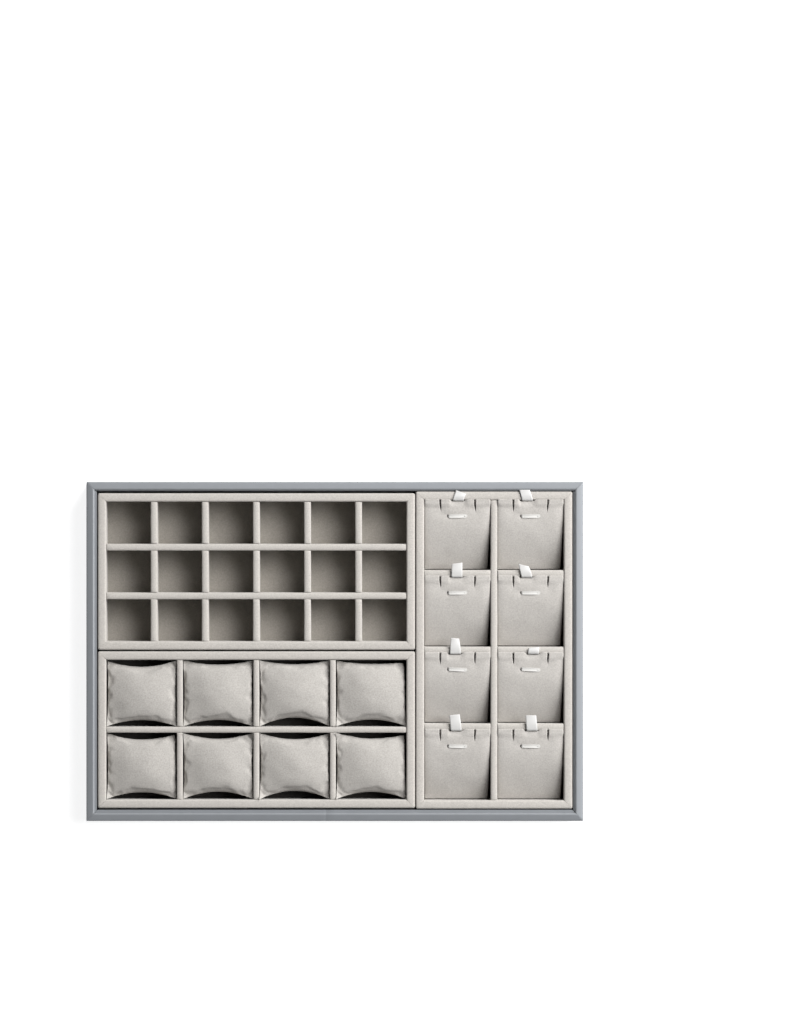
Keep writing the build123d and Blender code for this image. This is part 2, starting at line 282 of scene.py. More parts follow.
ARC_STEPS = 6  # round each arris of a rail
TOP_STEPS = 7  # across the top of a rail
ARRIS_SHARES = (0.2, 0.7, 1.0, 1.0, 1.0, 0.7, 0.3)  # how much each point of an arris counts as one
TURN_IN_SOFT = 0.35 * MM  # what the turned-in edge of the wrap is cut off by
MITRE_ROOM = 9 * MM  # from the end of a rail's corner to its even stations
JOINT_WIDTH = 0.3 * MM  # half of the butt joint in the wrap
SWAY_PITCH = 28.0  # waves of the suede of a rail, per metre


def rail_section(
    wall, bottom, crest, rounding, inner_rounding, ledge, ledge_top, crown, fall=0.0, turn_in=None
):
    """Section of a rail: depth from the outer face and height, and how near each point is to an arris

    The top falls towards the outer face. The crest is the highest point that is left by the rounding.
    Where the wrap is turned in, it stands out on the inner face, from some way below the crest: turn_in
    holds how far it stands out and how far below."""
    lean = math.atan2(fall, wall)
    slope = fall / wall
    turn = 90 + math.degrees(lean)
    rise, inner_rise = rounding / math.cos(lean), inner_rounding / math.cos(lean)
    top = crest + slope * inner_rounding + inner_rise - inner_rounding
    outer_middle = (rounding, top - fall + slope * rounding - rise)
    inner_middle = (wall - inner_rounding, top - slope * inner_rounding - inner_rise)
    outer = arc_points(outer_middle, rounding, 180, turn, ARC_STEPS)
    inner = arc_points(inner_middle, inner_rounding, turn, 0, ARC_STEPS)
    points = [(0.0, bottom), (0.0, (bottom + top) / 2), *outer]
    for i in range(1, TOP_STEPS):
        part = i / TOP_STEPS
        t = outer[-1][0] + (inner[0][0] - outer[-1][0]) * part
        z = outer[-1][1] + (inner[0][1] - outer[-1][1]) * part
        points.append((t, z + crown * math.sin(math.pi * part)))
    points += inner
    if turn_in:
        face, level = wall + turn_in[0], crest - turn_in[1]
        points += [(wall, level), (face - TURN_IN_SOFT, level)]
        points += [(face, level - TURN_IN_SOFT), (face, ledge_top)]
    else:
        points += [(wall, (ledge_top + top) / 2), (wall, ledge_top)]
    points += [(wall - ledge, ledge_top), (wall - ledge, bottom)]
    edge = [0.0, 0.0, *ARRIS_SHARES, *([0.0] * (TOP_STEPS - 1)), *ARRIS_SHARES[::-1]]
    return np.array(points), edge + [0.0] * (len(points) - len(edge))


def inset_section(points, inset):
    """The same section drawn in all round"""
    before, after = np.roll(points, 1, axis=0), np.roll(points, -1, axis=0)
    along = after - before
    along = along / np.linalg.norm(along, axis=1)[:, None]
    inward = np.column_stack((along[:, 1], -along[:, 0]))
    return points + inward * inset


def corner_run(depth, radius, run):
    """Place along and across a rail, at some depth from its outer face, a run away from the mitre"""
    turn = max(radius - depth, 0.0)
    arc = turn * math.pi / 4
    if run < arc:
        angle = math.pi / 4 - run / turn
        return radius - turn * math.sin(angle), radius - turn * math.cos(angle)
    return max(radius, depth) + run - arc, depth


def rail_stations(length, radius, lip, step, joint=None, joint_depth=0.0):
    """Stations from one mitre to the other: run from the near mitre or share between, and inset"""
    near = [(lip * (1 - math.cos(a)), lip * (1 - math.sin(a))) for a in (0.0, 0.5, 1.0, math.pi / 2)]
    near += [(run * MM, 0.0) for run in (0.8, 1.4, 2.0, 2.6, 3.6, 5.0, 7.0)]
    count = round((length - 2 * (radius + MITRE_ROOM)) / step)
    middle = [(i / count, 0.0) for i in range(1, count)]
    if joint is not None:
        width = JOINT_WIDTH / length
        middle += [(joint - width, 0.0), (joint, joint_depth), (joint + width, 0.0)]
    return near, sorted(middle)


def rail_piece(
    name, low, high, side, section, edge, radius, lip, step=6 * MM, sway=0.0, joint=None, joint_depth=0.0
):
    """A mitred rail on one side of a rectangle, with rounded lips at its mitres"""
    corners = {
        "front": ((low.x, low.y), (1, 0)),
        "right": ((high.x, low.y), (0, 1)),
        "back": ((high.x, high.y), (-1, 0)),
        "left": ((low.x, high.y), (0, -1)),
    }
    start, along = corners[side]
    across = (-along[1], along[0])
    length = abs(along[0]) * (high.x - low.x) + abs(along[1]) * (high.y - low.y)
    near, middle = rail_stations(length, radius, lip, step, joint, joint_depth)

    def ring(run, inset, place):
        """The section at one station, with the place along the rail worked out from its corner run"""
        points = []
        for t, z in inset_section(section, inset):
            s, depth = corner_run(t, radius, run)
            points.append((place(s), depth, z))
        return points

    rings = [ring(run, inset, lambda s: s) for run, inset in near]
    last = near[-1][0]
    for part, inset in middle:
        rings.append(ring(last, inset, lambda s: s + (length - 2 * s) * part))
    rings += [ring(run, inset, lambda s: length - s) for run, inset in reversed(near)]
    vertices = []
    for ring in rings:
        for s, t, z in ring:
            x = start[0] + along[0] * s + across[0] * t
            y = start[1] + along[1] * s + across[1] * t
            stray = Vector((0.0, 0.0, 0.0))
            if sway:
                stray = noise.noise_vector(Vector((x, y, z)) * SWAY_PITCH) * sway
                stray.z = min(stray.z, 0.0) * 0.5
                stray = stray * min(1.0, t / (1 * MM)) * min(1.0, (high.z - z + 1 * MM) / (1 * MM))
            vertices.append((x + stray.x, y + stray.y, z + stray.z))
    count = len(section)
    piece = mesh_piece(
        name, vertices, tube_faces(len(rings), count), attributes={"arris": edge * len(rings)}
    )
    return merged(piece)


# Dividers

DOME_STEPS = 14  # across the domed top of a divider
DOME_SKIRT = 12 * MM  # how far down a divider the row of points below its dome is
BAR_END_ROUND = 1.1 * MM
BAR_STEP = 5 * MM
LAP_PLAY = 0.1 * MM  # on each side of a half-lap notch
HAIR = 0.01 * MM  # between two stations that make a step
WHOLE_BAR = 7 * MM  # a divider's thickness, near enough to count dividers by
BAR_STRAY_PITCH = 30.0  # waves of the suede of a divider, per metre


def divider_section(width, dome):
    """Section of a divider: distance from its middle plane, and drop below its top"""
    half = width / 2
    turns = [math.radians(-90 + 180 * i / DOME_STEPS) for i in range(DOME_STEPS + 1)]
    over = [(-half * math.sin(a), dome * (1 - math.cos(a))) for a in turns]
    return [(half, None), (half, DOME_SKIRT), *over, (-half, DOME_SKIRT), (-half, None)]


def divider_bar(name, length, width, dome, floor, top, laps, lap_on_top, along_x, sway):
    """One suede bar along X or Y about the origin, rounded at its ends, with half-lap notches"""
    drops = [(BAR_END_ROUND * (1 - math.cos(a)), BAR_END_ROUND * (1 - math.sin(a))) for a in (0.0, 0.5, 1.0)]
    half, notch = length / 2, width / 2 + LAP_PLAY
    middle = (floor + top) / 2
    ends = [-half, half]
    if lap_on_top:
        ends += [place for c in laps for place in (c - notch, c + notch)]
    ends.sort()
    stations = []
    for start, end in zip(ends[::2], ends[1::2]):
        stations += [(start + run, floor, top - drop) for run, drop in drops]
        count = max(2, round((end - start) / BAR_STEP))
        stations += [
            (start + BAR_END_ROUND + (end - start - 2 * BAR_END_ROUND) * i / count, floor, top)
            for i in range(count + 1)
        ]
        stations += [(end - run, floor, top - drop) for run, drop in reversed(drops)]
        if end < half:
            stations += [(end + HAIR, floor, middle), (end + 2 * notch - HAIR, floor, middle)]
    if not lap_on_top:
        for c in laps:
            stations += [(c - notch - HAIR, floor, top), (c + notch + HAIR, floor, top)]
            stations += [(c - notch, middle, top), (c + notch, middle, top)]
        stations = [
            (s, middle if any(abs(s - c) < notch + HAIR / 2 for c in laps) else low, high)
            for s, low, high in sorted(stations)
        ]
    section = divider_section(width, dome)
    vertices = []
    for s, low, high in stations:
        for across, drop in section:
            z = low if drop is None else max(high - drop, low)
            stray = noise.noise(Vector((s, across, z)) * BAR_STRAY_PITCH) * sway
            place = (s, across + stray, z) if along_x else (across + stray, s, z)
            vertices.append(place)
    piece = mesh_piece(name, vertices, tube_faces(len(stations), len(section)))
    return merged(piece, 0.0005 * MM)


def comb_tree():
    """Geometry nodes that repeat a bar along a line, with its suede"""
    tree = bpy.data.node_groups.get("divider_comb")
    if tree:
        return tree
    tree = bpy.data.node_groups.new("divider_comb", "GeometryNodeTree")
    inputs = (
        ("Bar", "NodeSocketGeometry"),
        ("Count", "NodeSocketInt"),
        ("First", "NodeSocketVector"),
        ("Pitch", "NodeSocketVector"),
        ("Suede", "NodeSocketMaterial"),
    )
    for label, kind in inputs:
        tree.interface.new_socket(name=label, in_out="INPUT", socket_type=kind)
    tree.interface.new_socket(name="Dividers", in_out="OUTPUT", socket_type="NodeSocketGeometry")
    start, end = tree.nodes.new("NodeGroupInput"), tree.nodes.new("NodeGroupOutput")
    given = start.outputs
    line = add(
        tree,
        "GeometryNodeMeshLine",
        {"Count": given["Count"], "Start Location": given["First"], "Offset": given["Pitch"]},
        {"mode": "OFFSET"},
    )
    copies = add(
        tree, "GeometryNodeInstanceOnPoints", {"Points": line.outputs["Mesh"], "Instance": given["Bar"]}
    )
    real = add(tree, "GeometryNodeRealizeInstances", {"Geometry": copies.outputs["Instances"]})
    finish = add(
        tree,
        "GeometryNodeSetMaterial",
        {"Geometry": real.outputs["Geometry"], "Material": given["Suede"]},
    )
    tree.links.new(finish.outputs["Geometry"], end.inputs["Dividers"])
    return tree


def bake_modifier(piece, modifier):
    """Takes what a modifier makes of a piece into its mesh, and removes the modifier"""
    bpy.context.view_layer.update()
    evaluated = piece.evaluated_get(bpy.context.evaluated_depsgraph_get())
    baked = bpy.data.meshes.new_from_object(evaluated)
    piece.modifiers.remove(modifier)
    piece.data = baked
    baked.name = piece.name
    return piece


def repeated(bar, tree, **values):
    """Runs a geometry node tree on an object and bakes what comes out into its mesh"""
    modifier = bar.modifiers.new(tree.name, "NODES")
    modifier.node_group = tree
    for item in tree.interface.items_tree:
        if item.item_type == "SOCKET" and item.in_out == "INPUT" and item.name in values:
            modifier[item.identifier] = values[item.name]
    return bake_modifier(bar, modifier)


def comb_places(node, low, high, axis, count):
    """First place, pitch and width of the equal dividers of a node, between two limits along an axis"""
    first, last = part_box(node)
    clear, spread = high[axis] - low[axis], last[axis] - first[axis]
    pitch = (clear + spread) / (2 * count)
    width = spread - (count - 1) * pitch
    return first[axis] + width / 2, pitch, width


# Materials


def shader_group(name, inputs, outputs):
    """A new shader node group with named sockets, its input node and its output node"""
    tree = bpy.data.node_groups.new(name, "ShaderNodeTree")
    for label, kind, default in inputs:
        socket = tree.interface.new_socket(name=label, in_out="INPUT", socket_type=kind)
        if default is not None:
            socket.default_value = default
    for label, kind in outputs:
        tree.interface.new_socket(name=label, in_out="OUTPUT", socket_type=kind)
    return tree, tree.nodes.new("NodeGroupInput"), tree.nodes.new("NodeGroupOutput")


def put(tree, target, source):
    """Feeds an input from a socket, or sets it to a value"""
    if isinstance(source, bpy.types.NodeSocket):
        tree.links.new(source, target)
    else:
        target.default_value = source


def feed(tree, shader, sources):
    """Feeds several inputs of a shader, by their labels"""
    for label, source in sources.items():
        put(tree, shader.inputs[label], source)


def add(tree, kind, links=None, settings=None, **values):
    """A node with its settings, its input values and its input links"""
    node = tree.nodes.new(kind)
    for label, value in (settings or {}).items():
        setattr(node, label, value)
    for label, value in values.items():
        node.inputs[label].default_value = value
    for label, source in (links or {}).items():
        tree.links.new(source, node.inputs[label])
    return node


def math_node(tree, operation, a, b):
    """A math node on two numbers or sockets"""
    node = tree.nodes.new("ShaderNodeMath")
    node.operation = operation
    for i, source in enumerate((a, b)):
        put(tree, node.inputs[i], source)
    return node.outputs[0]


def scaled(tree, source, factor, offset):
    """A value times a factor, plus an offset"""
    return math_node(tree, "ADD", math_node(tree, "MULTIPLY", source, factor), offset)


def centred(tree, source, factor):
    """How far a value is from a half, times a factor"""
    return math_node(tree, "MULTIPLY", math_node(tree, "SUBTRACT", source, 0.5), factor)


def mixed(tree, factor, a, b):
    """A colour mix of two colours or sockets"""
    node = tree.nodes.new("ShaderNodeMix")
    node.data_type = "RGBA"
    tree.links.new(factor, node.inputs[0])
    for i, source in ((6, a), (7, b)):
        if not isinstance(source, bpy.types.NodeSocket):
            source = (*source, 1.0)
        put(tree, node.inputs[i], source)
    return node.outputs[2]


def noise_node(tree, place, scale, detail=2.0, roughness=0.5, stretch=None):
    """Noise at a scale per metre, on coordinates that may be stretched"""
    if stretch:
        mapping = add(tree, "ShaderNodeMapping", {"Vector": place}, Scale=stretch)
        place = mapping.outputs["Vector"]
    node = add(
        tree, "ShaderNodeTexNoise", {"Vector": place}, Scale=scale, Detail=detail, Roughness=roughness
    )
    return node.outputs[0]


def nap_group():
    """Short suede pile: speckle of single fibres, and lanes where the nap was stroked"""
    tree = bpy.data.node_groups.get("suede_nap")
    if tree:
        return tree
    tree, start, end = shader_group(
        "suede_nap",
        (
            ("Place", "NodeSocketVector", None),
            ("Tone", "NodeSocketColor", (0.6, 0.6, 0.6, 1.0)),
            ("Speckle", "NodeSocketFloat", 0.1),
            ("Stroke", "NodeSocketFloat", 0.1),
        ),
        (("Color", "NodeSocketColor"), ("Roughness", "NodeSocketFloat"), ("Height", "NodeSocketFloat")),
    )
    place = start.outputs["Place"]
    fine = noise_node(tree, place, 1500.0, 3.0, 0.7)
    coarse = noise_node(tree, place, 700.0, 2.0, 0.6)
    lanes = noise_node(tree, place, 42.0, 2.0, 0.5, (1.0, 0.45, 1.0))
    pile = scaled(tree, fine, 0.4, math_node(tree, "MULTIPLY", coarse, 0.6))
    speck = centred(tree, pile, start.outputs["Speckle"])
    lane = centred(tree, lanes, start.outputs["Stroke"])
    lift = math_node(tree, "ADD", math_node(tree, "ADD", speck, lane), 1.0)
    bright = add(tree, "ShaderNodeVectorMath", {0: start.outputs["Tone"]}, {"operation": "SCALE"})
    tree.links.new(lift, bright.inputs["Scale"])
    tree.links.new(bright.outputs[0], end.inputs["Color"])
    tree.links.new(scaled(tree, lanes, 0.12, 0.84), end.inputs["Roughness"])
    tree.links.new(pile, end.inputs["Height"])
    return tree


def grain_group():
    """Pebbled grain of artificial leather"""
    tree = bpy.data.node_groups.get("wrap_grain")
    if tree:
        return tree
    tree, start, end = shader_group(
        "wrap_grain",
        (("Place", "NodeSocketVector", None), ("Pebble", "NodeSocketFloat", 1100.0)),
        (("Mask", "NodeSocketFloat"), ("Height", "NodeSocketFloat")),
    )
    place = start.outputs["Place"]
    bend = add(tree, "ShaderNodeTexNoise", {"Vector": place}, Scale=600.0, Detail=2.0)
    push = add(
        tree, "ShaderNodeVectorMath", {0: bend.outputs["Color"]}, {"operation": "SCALE"}, Scale=0.0006
    )
    moved = add(tree, "ShaderNodeVectorMath", {0: place, 1: push.outputs[0]}, {"operation": "ADD"})
    cells = add(
        tree,
        "ShaderNodeTexVoronoi",
        {"Vector": moved.outputs[0], "Scale": start.outputs["Pebble"]},
        {"feature": "SMOOTH_F1"},
    )
    soft = noise_node(tree, place, 90.0, 2.0)
    tree.links.new(soft, end.inputs["Mask"])
    tree.links.new(cells.outputs["Distance"], end.inputs["Height"])
    return tree


def arris_highlight_group():
    """Painted highlight along edges: an edge value broken up by noise"""
    tree = bpy.data.node_groups.get("painted_arris_highlight")
    if tree:
        return tree
    tree, start, end = shader_group(
        "painted_arris_highlight",
        (
            ("Place", "NodeSocketVector", None),
            ("Edge", "NodeSocketFloat", 0.0),
            ("Amount", "NodeSocketFloat", 0.5),
        ),
        (("Mask", "NodeSocketFloat"),),
    )
    patches = noise_node(tree, start.outputs["Place"], 160.0, 3.0, 0.6)
    broken = math_node(tree, "MULTIPLY", patches, start.outputs["Edge"])
    mask = math_node(tree, "MULTIPLY", broken, start.outputs["Amount"])
    tree.links.new(mask, end.inputs["Mask"])
    return tree


def new_material(name):
    """A new material with its node tree, its Principled shader and its Object coordinates"""
    material = bpy.data.materials.new(name)
    material.use_nodes = True
    tree = material.node_tree
    shader = tree.nodes["Principled BSDF"]
    place = tree.nodes.new("ShaderNodeTexCoord").outputs["Object"]
    return material, tree, shader, place


def bump(tree, shader, height, distance, strength):
    """Relief from a height, in metres"""
    node = add(tree, "ShaderNodeBump", {"Height": height}, Strength=strength, Distance=distance)
    tree.links.new(node.outputs["Normal"], shader.inputs["Normal"])


def suede(name, tone, speckle=0.9, stroke=0.10, sheen=0.25, relief=0.36):
    """Short-pile suede in one tone"""
    material, tree, shader, place = new_material(name)
    nap = add(
        tree,
        "ShaderNodeGroup",
        {},
        {"node_tree": nap_group()},
        Tone=(*tone, 1.0),
        Speckle=speckle,
        Stroke=stroke,
    )
    tree.links.new(place, nap.inputs["Place"])
    looks = {
        "Base Color": nap.outputs["Color"],
        "Roughness": nap.outputs["Roughness"],
        "Specular IOR Level": 0.12,
        "Sheen Weight": sheen,
        "Sheen Roughness": 0.45,
        "Sheen Tint": (1.0, 0.98, 0.95, 1.0),
    }
    feed(tree, shader, looks)
    bump(tree, shader, nap.outputs["Height"], relief * MM, 0.55)
    return material


def wrap_material(settings):
    """Blue-grey artificial leather, with a painted highlight on its arrises, broken up by noise"""
    material, tree, shader, place = new_material("leather_wrap")
    grain = add(tree, "ShaderNodeGroup", {}, {"node_tree": grain_group()})
    tree.links.new(place, grain.inputs["Place"])
    edge = add(tree, "ShaderNodeAttribute", settings={"attribute_name": "arris"})
    # Painted highlight: the arrises are lighter in colour, broken up by noise
    arris_highlight = add(tree, "ShaderNodeGroup", {}, {"node_tree": arris_highlight_group()}, Amount=0.9)
    feed(tree, arris_highlight, {"Place": place, "Edge": edge.outputs["Fac"]})
    tone = mixed(tree, grain.outputs["Mask"], settings.tone, [c * 1.12 for c in settings.tone])
    tone = mixed(tree, arris_highlight.outputs["Mask"], tone, settings.arris_highlight_tone)
    looks = {
        "Base Color": tone,
        "Roughness": scaled(tree, grain.outputs["Mask"], 0.12, 0.42),
        "Specular IOR Level": 0.78,
        "Specular Tint": (0.93, 0.96, 1.0, 1.0),
    }
    feed(tree, shader, looks)
    bump(tree, shader, grain.outputs["Height"], 0.10 * MM, 0.18)
    return material


def strap_material(settings):
    """Off-white artificial leather"""
    material, tree, shader, place = new_material("keeper_strap")
    grain = add(tree, "ShaderNodeGroup", {}, {"node_tree": grain_group()}, Pebble=1700.0)
    tree.links.new(place, grain.inputs["Place"])
    tone = mixed(tree, grain.outputs["Mask"], settings.strap_tone, [c * 0.93 for c in settings.strap_tone])
    feed(tree, shader, {"Base Color": tone, "Roughness": 0.5})
    bump(tree, shader, grain.outputs["Height"], 0.06 * MM, 0.2)
    return material


def ribbon_material(settings):
    """White satin with fine ribs across the ribbon, on its own UV map"""
    material, tree, shader, place = new_material("pull_ribbon")
    weave = add(tree, "ShaderNodeUVMap", settings={"uv_map": "cloth"})
    ribs = add(
        tree,
        "ShaderNodeTexWave",
        {"Vector": weave.outputs["UV"]},
        {"wave_type": "BANDS", "bands_direction": "Y"},
        Scale=460.0,
        Distortion=0.6,
        Detail=1.0,
    )
    tone = mixed(tree, ribs.outputs["Fac"], [c * 0.95 for c in settings.ribbon_tone], settings.ribbon_tone)
    rough = scaled(tree, noise_node(tree, place, 300.0, 2.0), 0.15, 0.42)
    feed(tree, shader, {"Base Color": tone, "Roughness": rough, "Sheen Weight": 0.2})
    bump(tree, shader, ribs.outputs["Fac"], 0.05 * MM, 0.35)
    return material


def felt_material():
    """Pressed dark felt"""
    material, tree, shader, place = new_material("pressed_felt")
    fibres = noise_node(tree, place, 1200.0, 4.0, 0.75, (1.0, 0.35, 1.0))
    clumps = noise_node(tree, place, 160.0, 3.0)
    tone = mixed(tree, clumps, (0.018, 0.018, 0.021), (0.045, 0.045, 0.05))
    feed(tree, shader, {"Base Color": tone, "Roughness": 0.95, "Sheen Weight": 0.4})
    bump(tree, shader, fibres, 0.3 * MM, 0.6)
    return material


def lining_material():
    """Dark woven lining cloth"""
    material, tree, shader, place = new_material("lining_cloth")
    threads = []
    for direction in ("X", "Y"):
        wave = add(
            tree,
            "ShaderNodeTexWave",
            {"Vector": place},
            {"wave_type": "BANDS", "bands_direction": direction},
            Scale=320.0,
            Distortion=1.2,
            Detail=1.0,
        )
        threads.append(wave.outputs["Fac"])
    weave = math_node(tree, "MAXIMUM", threads[0], threads[1])
    tone = mixed(tree, weave, (0.02, 0.021, 0.022), (0.07, 0.071, 0.073))
    feed(tree, shader, {"Base Color": tone, "Roughness": 0.88})
    bump(tree, shader, weave, 0.15 * MM, 0.5)
    return material


def board_material():
    """Raw fibre board"""
    material, tree, shader, place = new_material("fibre_board")
    chips = noise_node(tree, place, 700.0, 5.0, 0.7, (1.0, 1.0, 4.0))
    tone = mixed(tree, chips, (0.33, 0.24, 0.15), (0.52, 0.40, 0.27))
    feed(tree, shader, {"Base Color": tone, "Roughness": 0.85})
    bump(tree, shader, chips, 0.1 * MM, 0.4)
    return material


# Pillows

CORNER_SINK = 7  # millimetres that a wholly sunk corner would draw in, for each unit that it is sunk
SUNK_BELOW = 0.4  # a corner that is lifted less than this is sunk
OVER_REACH = 14  # millimetres that a flap stands out, for each unit that it is lifted over 1
CREASE_DEPTH = 0.9 * MM
CREASE_WIDTH = 1.6 * MM
COVER_STRAY = 0.5  # millimetres that the cover strays
COVER_WAVES = 2.1  # waves of that stray, from the middle of a pillow to its side
CELL_CLEAR = 0.3 * MM  # under a pillow
COVER_OVERHANG = 2 * MM  # what a cover may reach over the walls, above the rim
STUFFING_FRAMES = 20
COVER_CLOTH = {
    "quality": 6,
    "mass": 0.15,
    "tension_stiffness": 12.0,
    "compression_stiffness": 8.0,
    "shear_stiffness": 4.0,
    "bending_stiffness": 0.35,
    "shrink_min": -0.035,
    "use_pressure": True,
    "vertex_group_mass": "seam",
    "pin_stiffness": 1.0,
}

# Each pillow, row by row from the back left: how far its back and front seams pull in, in millimetres,
# and how far each corner stands up. 0 is sunk and 1 a raised flap. The corners are back left, back
# right, front right and front left.
PILLOWS = (
    (6.5, 6.0, (0.25, 0.8, 0.75, 0.7)),
    (4.2, 6.2, (0.45, 0.5, 0.55, 0.6)),
    (3.8, 8.6, (0.85, 0.55, 0.55, 0.7)),
    (3.4, 6.5, (0.35, 0.0, 0.6, 0.95)),
    (6.5, 6.5, (0.35, 0.1, 0.55, 0.85)),
    (5.8, 7.2, (1.0, 0.95, 0.6, 0.5)),
    (6.2, 8.0, (0.6, 0.35, 0.6, 1.05)),
    (5.5, 7.0, (1.1, 0.05, 0.5, 1.0)),
)
CORNER_SIGNS = ((-1, 1), (1, 1), (1, -1), (-1, -1))


def pillow_points(settings, centre, half, levels, shape, seed):
    """Top and bottom of a pillow as two grids of points that share their rim, the seam"""
    seam, crown, floor, rim = levels
    sag_back, sag_front, lifts = shape
    steps = settings.steps
    spread = np.sin(np.linspace(-1, 1, steps + 1) * math.pi / 2)
    u, v = np.meshgrid(spread, spread)
    swell = (1 - u**2) * (1 - v**2)
    sag_y = (sag_front + (sag_back - sag_front) * (v + 1) / 2) * MM
    x = u * (half[0] - settings.sag_side * (1 - v**2))
    y = v * (half[1] - sag_y * (1 - np.abs(u) ** 1.9))
    seam_z = seam + settings.side_rise * u**4 * (1 - v**2)
    thin = np.zeros_like(u)
    crease = np.zeros_like(u)
    for (sx, sy), lift in zip(CORNER_SIGNS, lifts):
        near = (1 + sx * u) / 2 * (1 + sy * v) / 2
        sunk = max(0.0, SUNK_BELOW - lift)
        x = x - sx * near**5 * sunk * CORNER_SINK * MM
        y = y - sy * near**5 * sunk * CORNER_SINK * MM
        seam_z = seam_z + near**4 * (rim - seam - settings.flap_rise) * min(lift, 1.0)
        thin = thin + near**9
        leg = (half[0] - sx * x) + (half[1] - sy * y)
        rise = np.clip(1 - leg / settings.flap, 0, 1)
        flap = np.clip((lift - 0.35) / 0.5, 0, 1.25)
        seam_z = seam_z + rise * settings.flap_rise * flap
        over = max(0.0, lift - 1.0) * OVER_REACH * MM
        x = x + sx * rise**2 * over
        y = y + sy * rise**2 * over
        seam_z = seam_z + rise**2 * over * 1.5
        crease = crease + CREASE_DEPTH * flap * np.exp(-(((leg - settings.flap) / CREASE_WIDTH) ** 2))
    full = 1 - 0.72 * np.clip(thin, 0, 1)
    for way, share_round in ((u, 0.6), (v, 0.42)):
        full = full * (share_round * (1 - way**2) + (1 - share_round) * (1 - way**2) ** 0.2)
    top = seam_z + (crown - seam_z) * full - crease * np.minimum(1.0, swell * 20)
    belly = np.minimum(swell**0.38 * 1.08, 1.0) * (1 - 0.8 * np.clip(thin, 0, 1))
    bottom = seam_z - (seam_z - floor) * belly
    places = [(a * COVER_WAVES + seed * 7.3, b * COVER_WAVES, seed) for a, b in zip(u.ravel(), v.ravel())]
    chance = np.array([noise.noise(Vector(place)) for place in places]).reshape(u.shape)
    top = top + chance * COVER_STRAY * MM * np.minimum(1.0, swell * 3)
    upper = np.stack([x + centre[0], y + centre[1], top], axis=-1)
    lower = np.stack([x + centre[0], y + centre[1], bottom], axis=-1)
    return upper, lower


def pillow_mesh(name, upper, lower):
    """A closed mesh from the two grids, joined along the seam, with the seam as a vertex group"""
    rows, columns = upper.shape[:2]
    vertices = [tuple(p) for p in upper.reshape(-1, 3)]
    index = {}
    for r in range(rows):
        for c in range(columns):
            if r in (0, rows - 1) or c in (0, columns - 1):
                index[r, c] = r * columns + c
            else:
                index[r, c] = len(vertices)
                vertices.append(tuple(lower[r, c]))
    faces = []
    for r in range(rows - 1):
        for c in range(columns - 1):
            a = r * columns + c
            faces.append((a, a + 1, a + 1 + columns, a + columns))
            faces.append((index[r, c], index[r + 1, c], index[r + 1, c + 1], index[r, c + 1]))
    piece = mesh_piece(name, vertices, faces, 180.0)
    seam = piece.vertex_groups.new(name="seam")
    rim = [i for (r, c), i in index.items() if i == r * columns + c]
    seam.add(rim, 1.0, "REPLACE")
    return piece


def points_of(mesh):
    """The points of a mesh as an array"""
    values = np.empty(len(mesh.vertices) * 3)
    mesh.vertices.foreach_get("co", values)
    return values.reshape(-1, 3)


def stuffed(pieces, settings):
    """Cloth simulation of the covers under the pressure of their stuffing, capped and applied"""
    rests = [points_of(piece.data) for piece in pieces]
    scene = bpy.context.scene
    for piece in pieces:
        cloth = piece.modifiers.new("stuffing", "CLOTH")
        for label, value in COVER_CLOTH.items():
            setattr(cloth.settings, label, value)
        cloth.settings.uniform_pressure_force = settings.pressure
        cloth.settings.effector_weights.gravity = 0.0
        cloth.collision_settings.use_collision = False
        cloth.collision_settings.use_self_collision = False
        cloth.point_cache.frame_start = 1
        cloth.point_cache.frame_end = STUFFING_FRAMES
    for number in range(1, STUFFING_FRAMES + 1):
        scene.frame_set(number)
    depsgraph = bpy.context.evaluated_depsgraph_get()
    for piece, rest in zip(pieces, rests):
        evaluated = piece.evaluated_get(depsgraph)
        moved = points_of(evaluated.data)
        piece.modifiers.clear()
        move = moved - rest
        size = np.linalg.norm(move, axis=1)[:, None]
        move = move * np.minimum(1.0, settings.most_move / np.maximum(size, 1e-9))
        piece.data.vertices.foreach_set("co", (rest + move).ravel())
        piece.data.update()
    scene.frame_set(1)


def kept_inside(piece, low, high, rim, over):
    """Keeps a soft piece off the walls and the floor of its cell"""
    points = points_of(piece.data)
    free = np.clip((points[:, 2] - rim) / (0.5 * MM), 0, 1) * over
    for axis in (0, 1):
        points[:, axis] = np.clip(points[:, axis], low[axis] - free, high[axis] + free)
    points[:, 2] = np.maximum(points[:, 2], low[2])
    piece.data.vertices.foreach_set("co", points.ravel())
    piece.data.update()


def applied(piece, kind, **values):
    """Adds a modifier, applies it to the mesh and removes it"""
    modifier = piece.modifiers.new(kind.lower(), kind)
    for label, value in values.items():
        setattr(modifier, label, value)
    return bake_modifier(piece, modifier)


def smooth(value):
    """0 below 0, 1 above 1, and a soft step between"""
    value = min(max(value, 0.0), 1.0)
    return value * value * (3 - 2 * value)


def pad_arc(low, high, rim, settings):
    """Centre and radius of the crowned slope of a pad, in Y and Z"""
    top, toe = rim - settings.top_drop, low.z + settings.toe
    tilt = math.atan2(top - toe, high.y - low.y)
    half = math.hypot(high.y - low.y, top - toe) / 2
    radius = (half**2 + settings.crown**2) / (2 * settings.crown)
    inward = radius - settings.crown
    middle = (low.y + high.y) / 2, (top + toe) / 2
    return (middle[0] + inward * math.sin(tilt), middle[1] - inward * math.cos(tilt)), radius


LIP_OVER_RAIL = 0.9  # millimetres that a pad's top edge reaches over the back rail
LIP_OVER_DIVIDER = 1.7  # and over a divider
SLIT_REACH = 7 * MM  # how far beside a slit the cover gives way
EDGE_ROUND = 0.9 * MM
SLIT_ROUND = 0.75 * MM


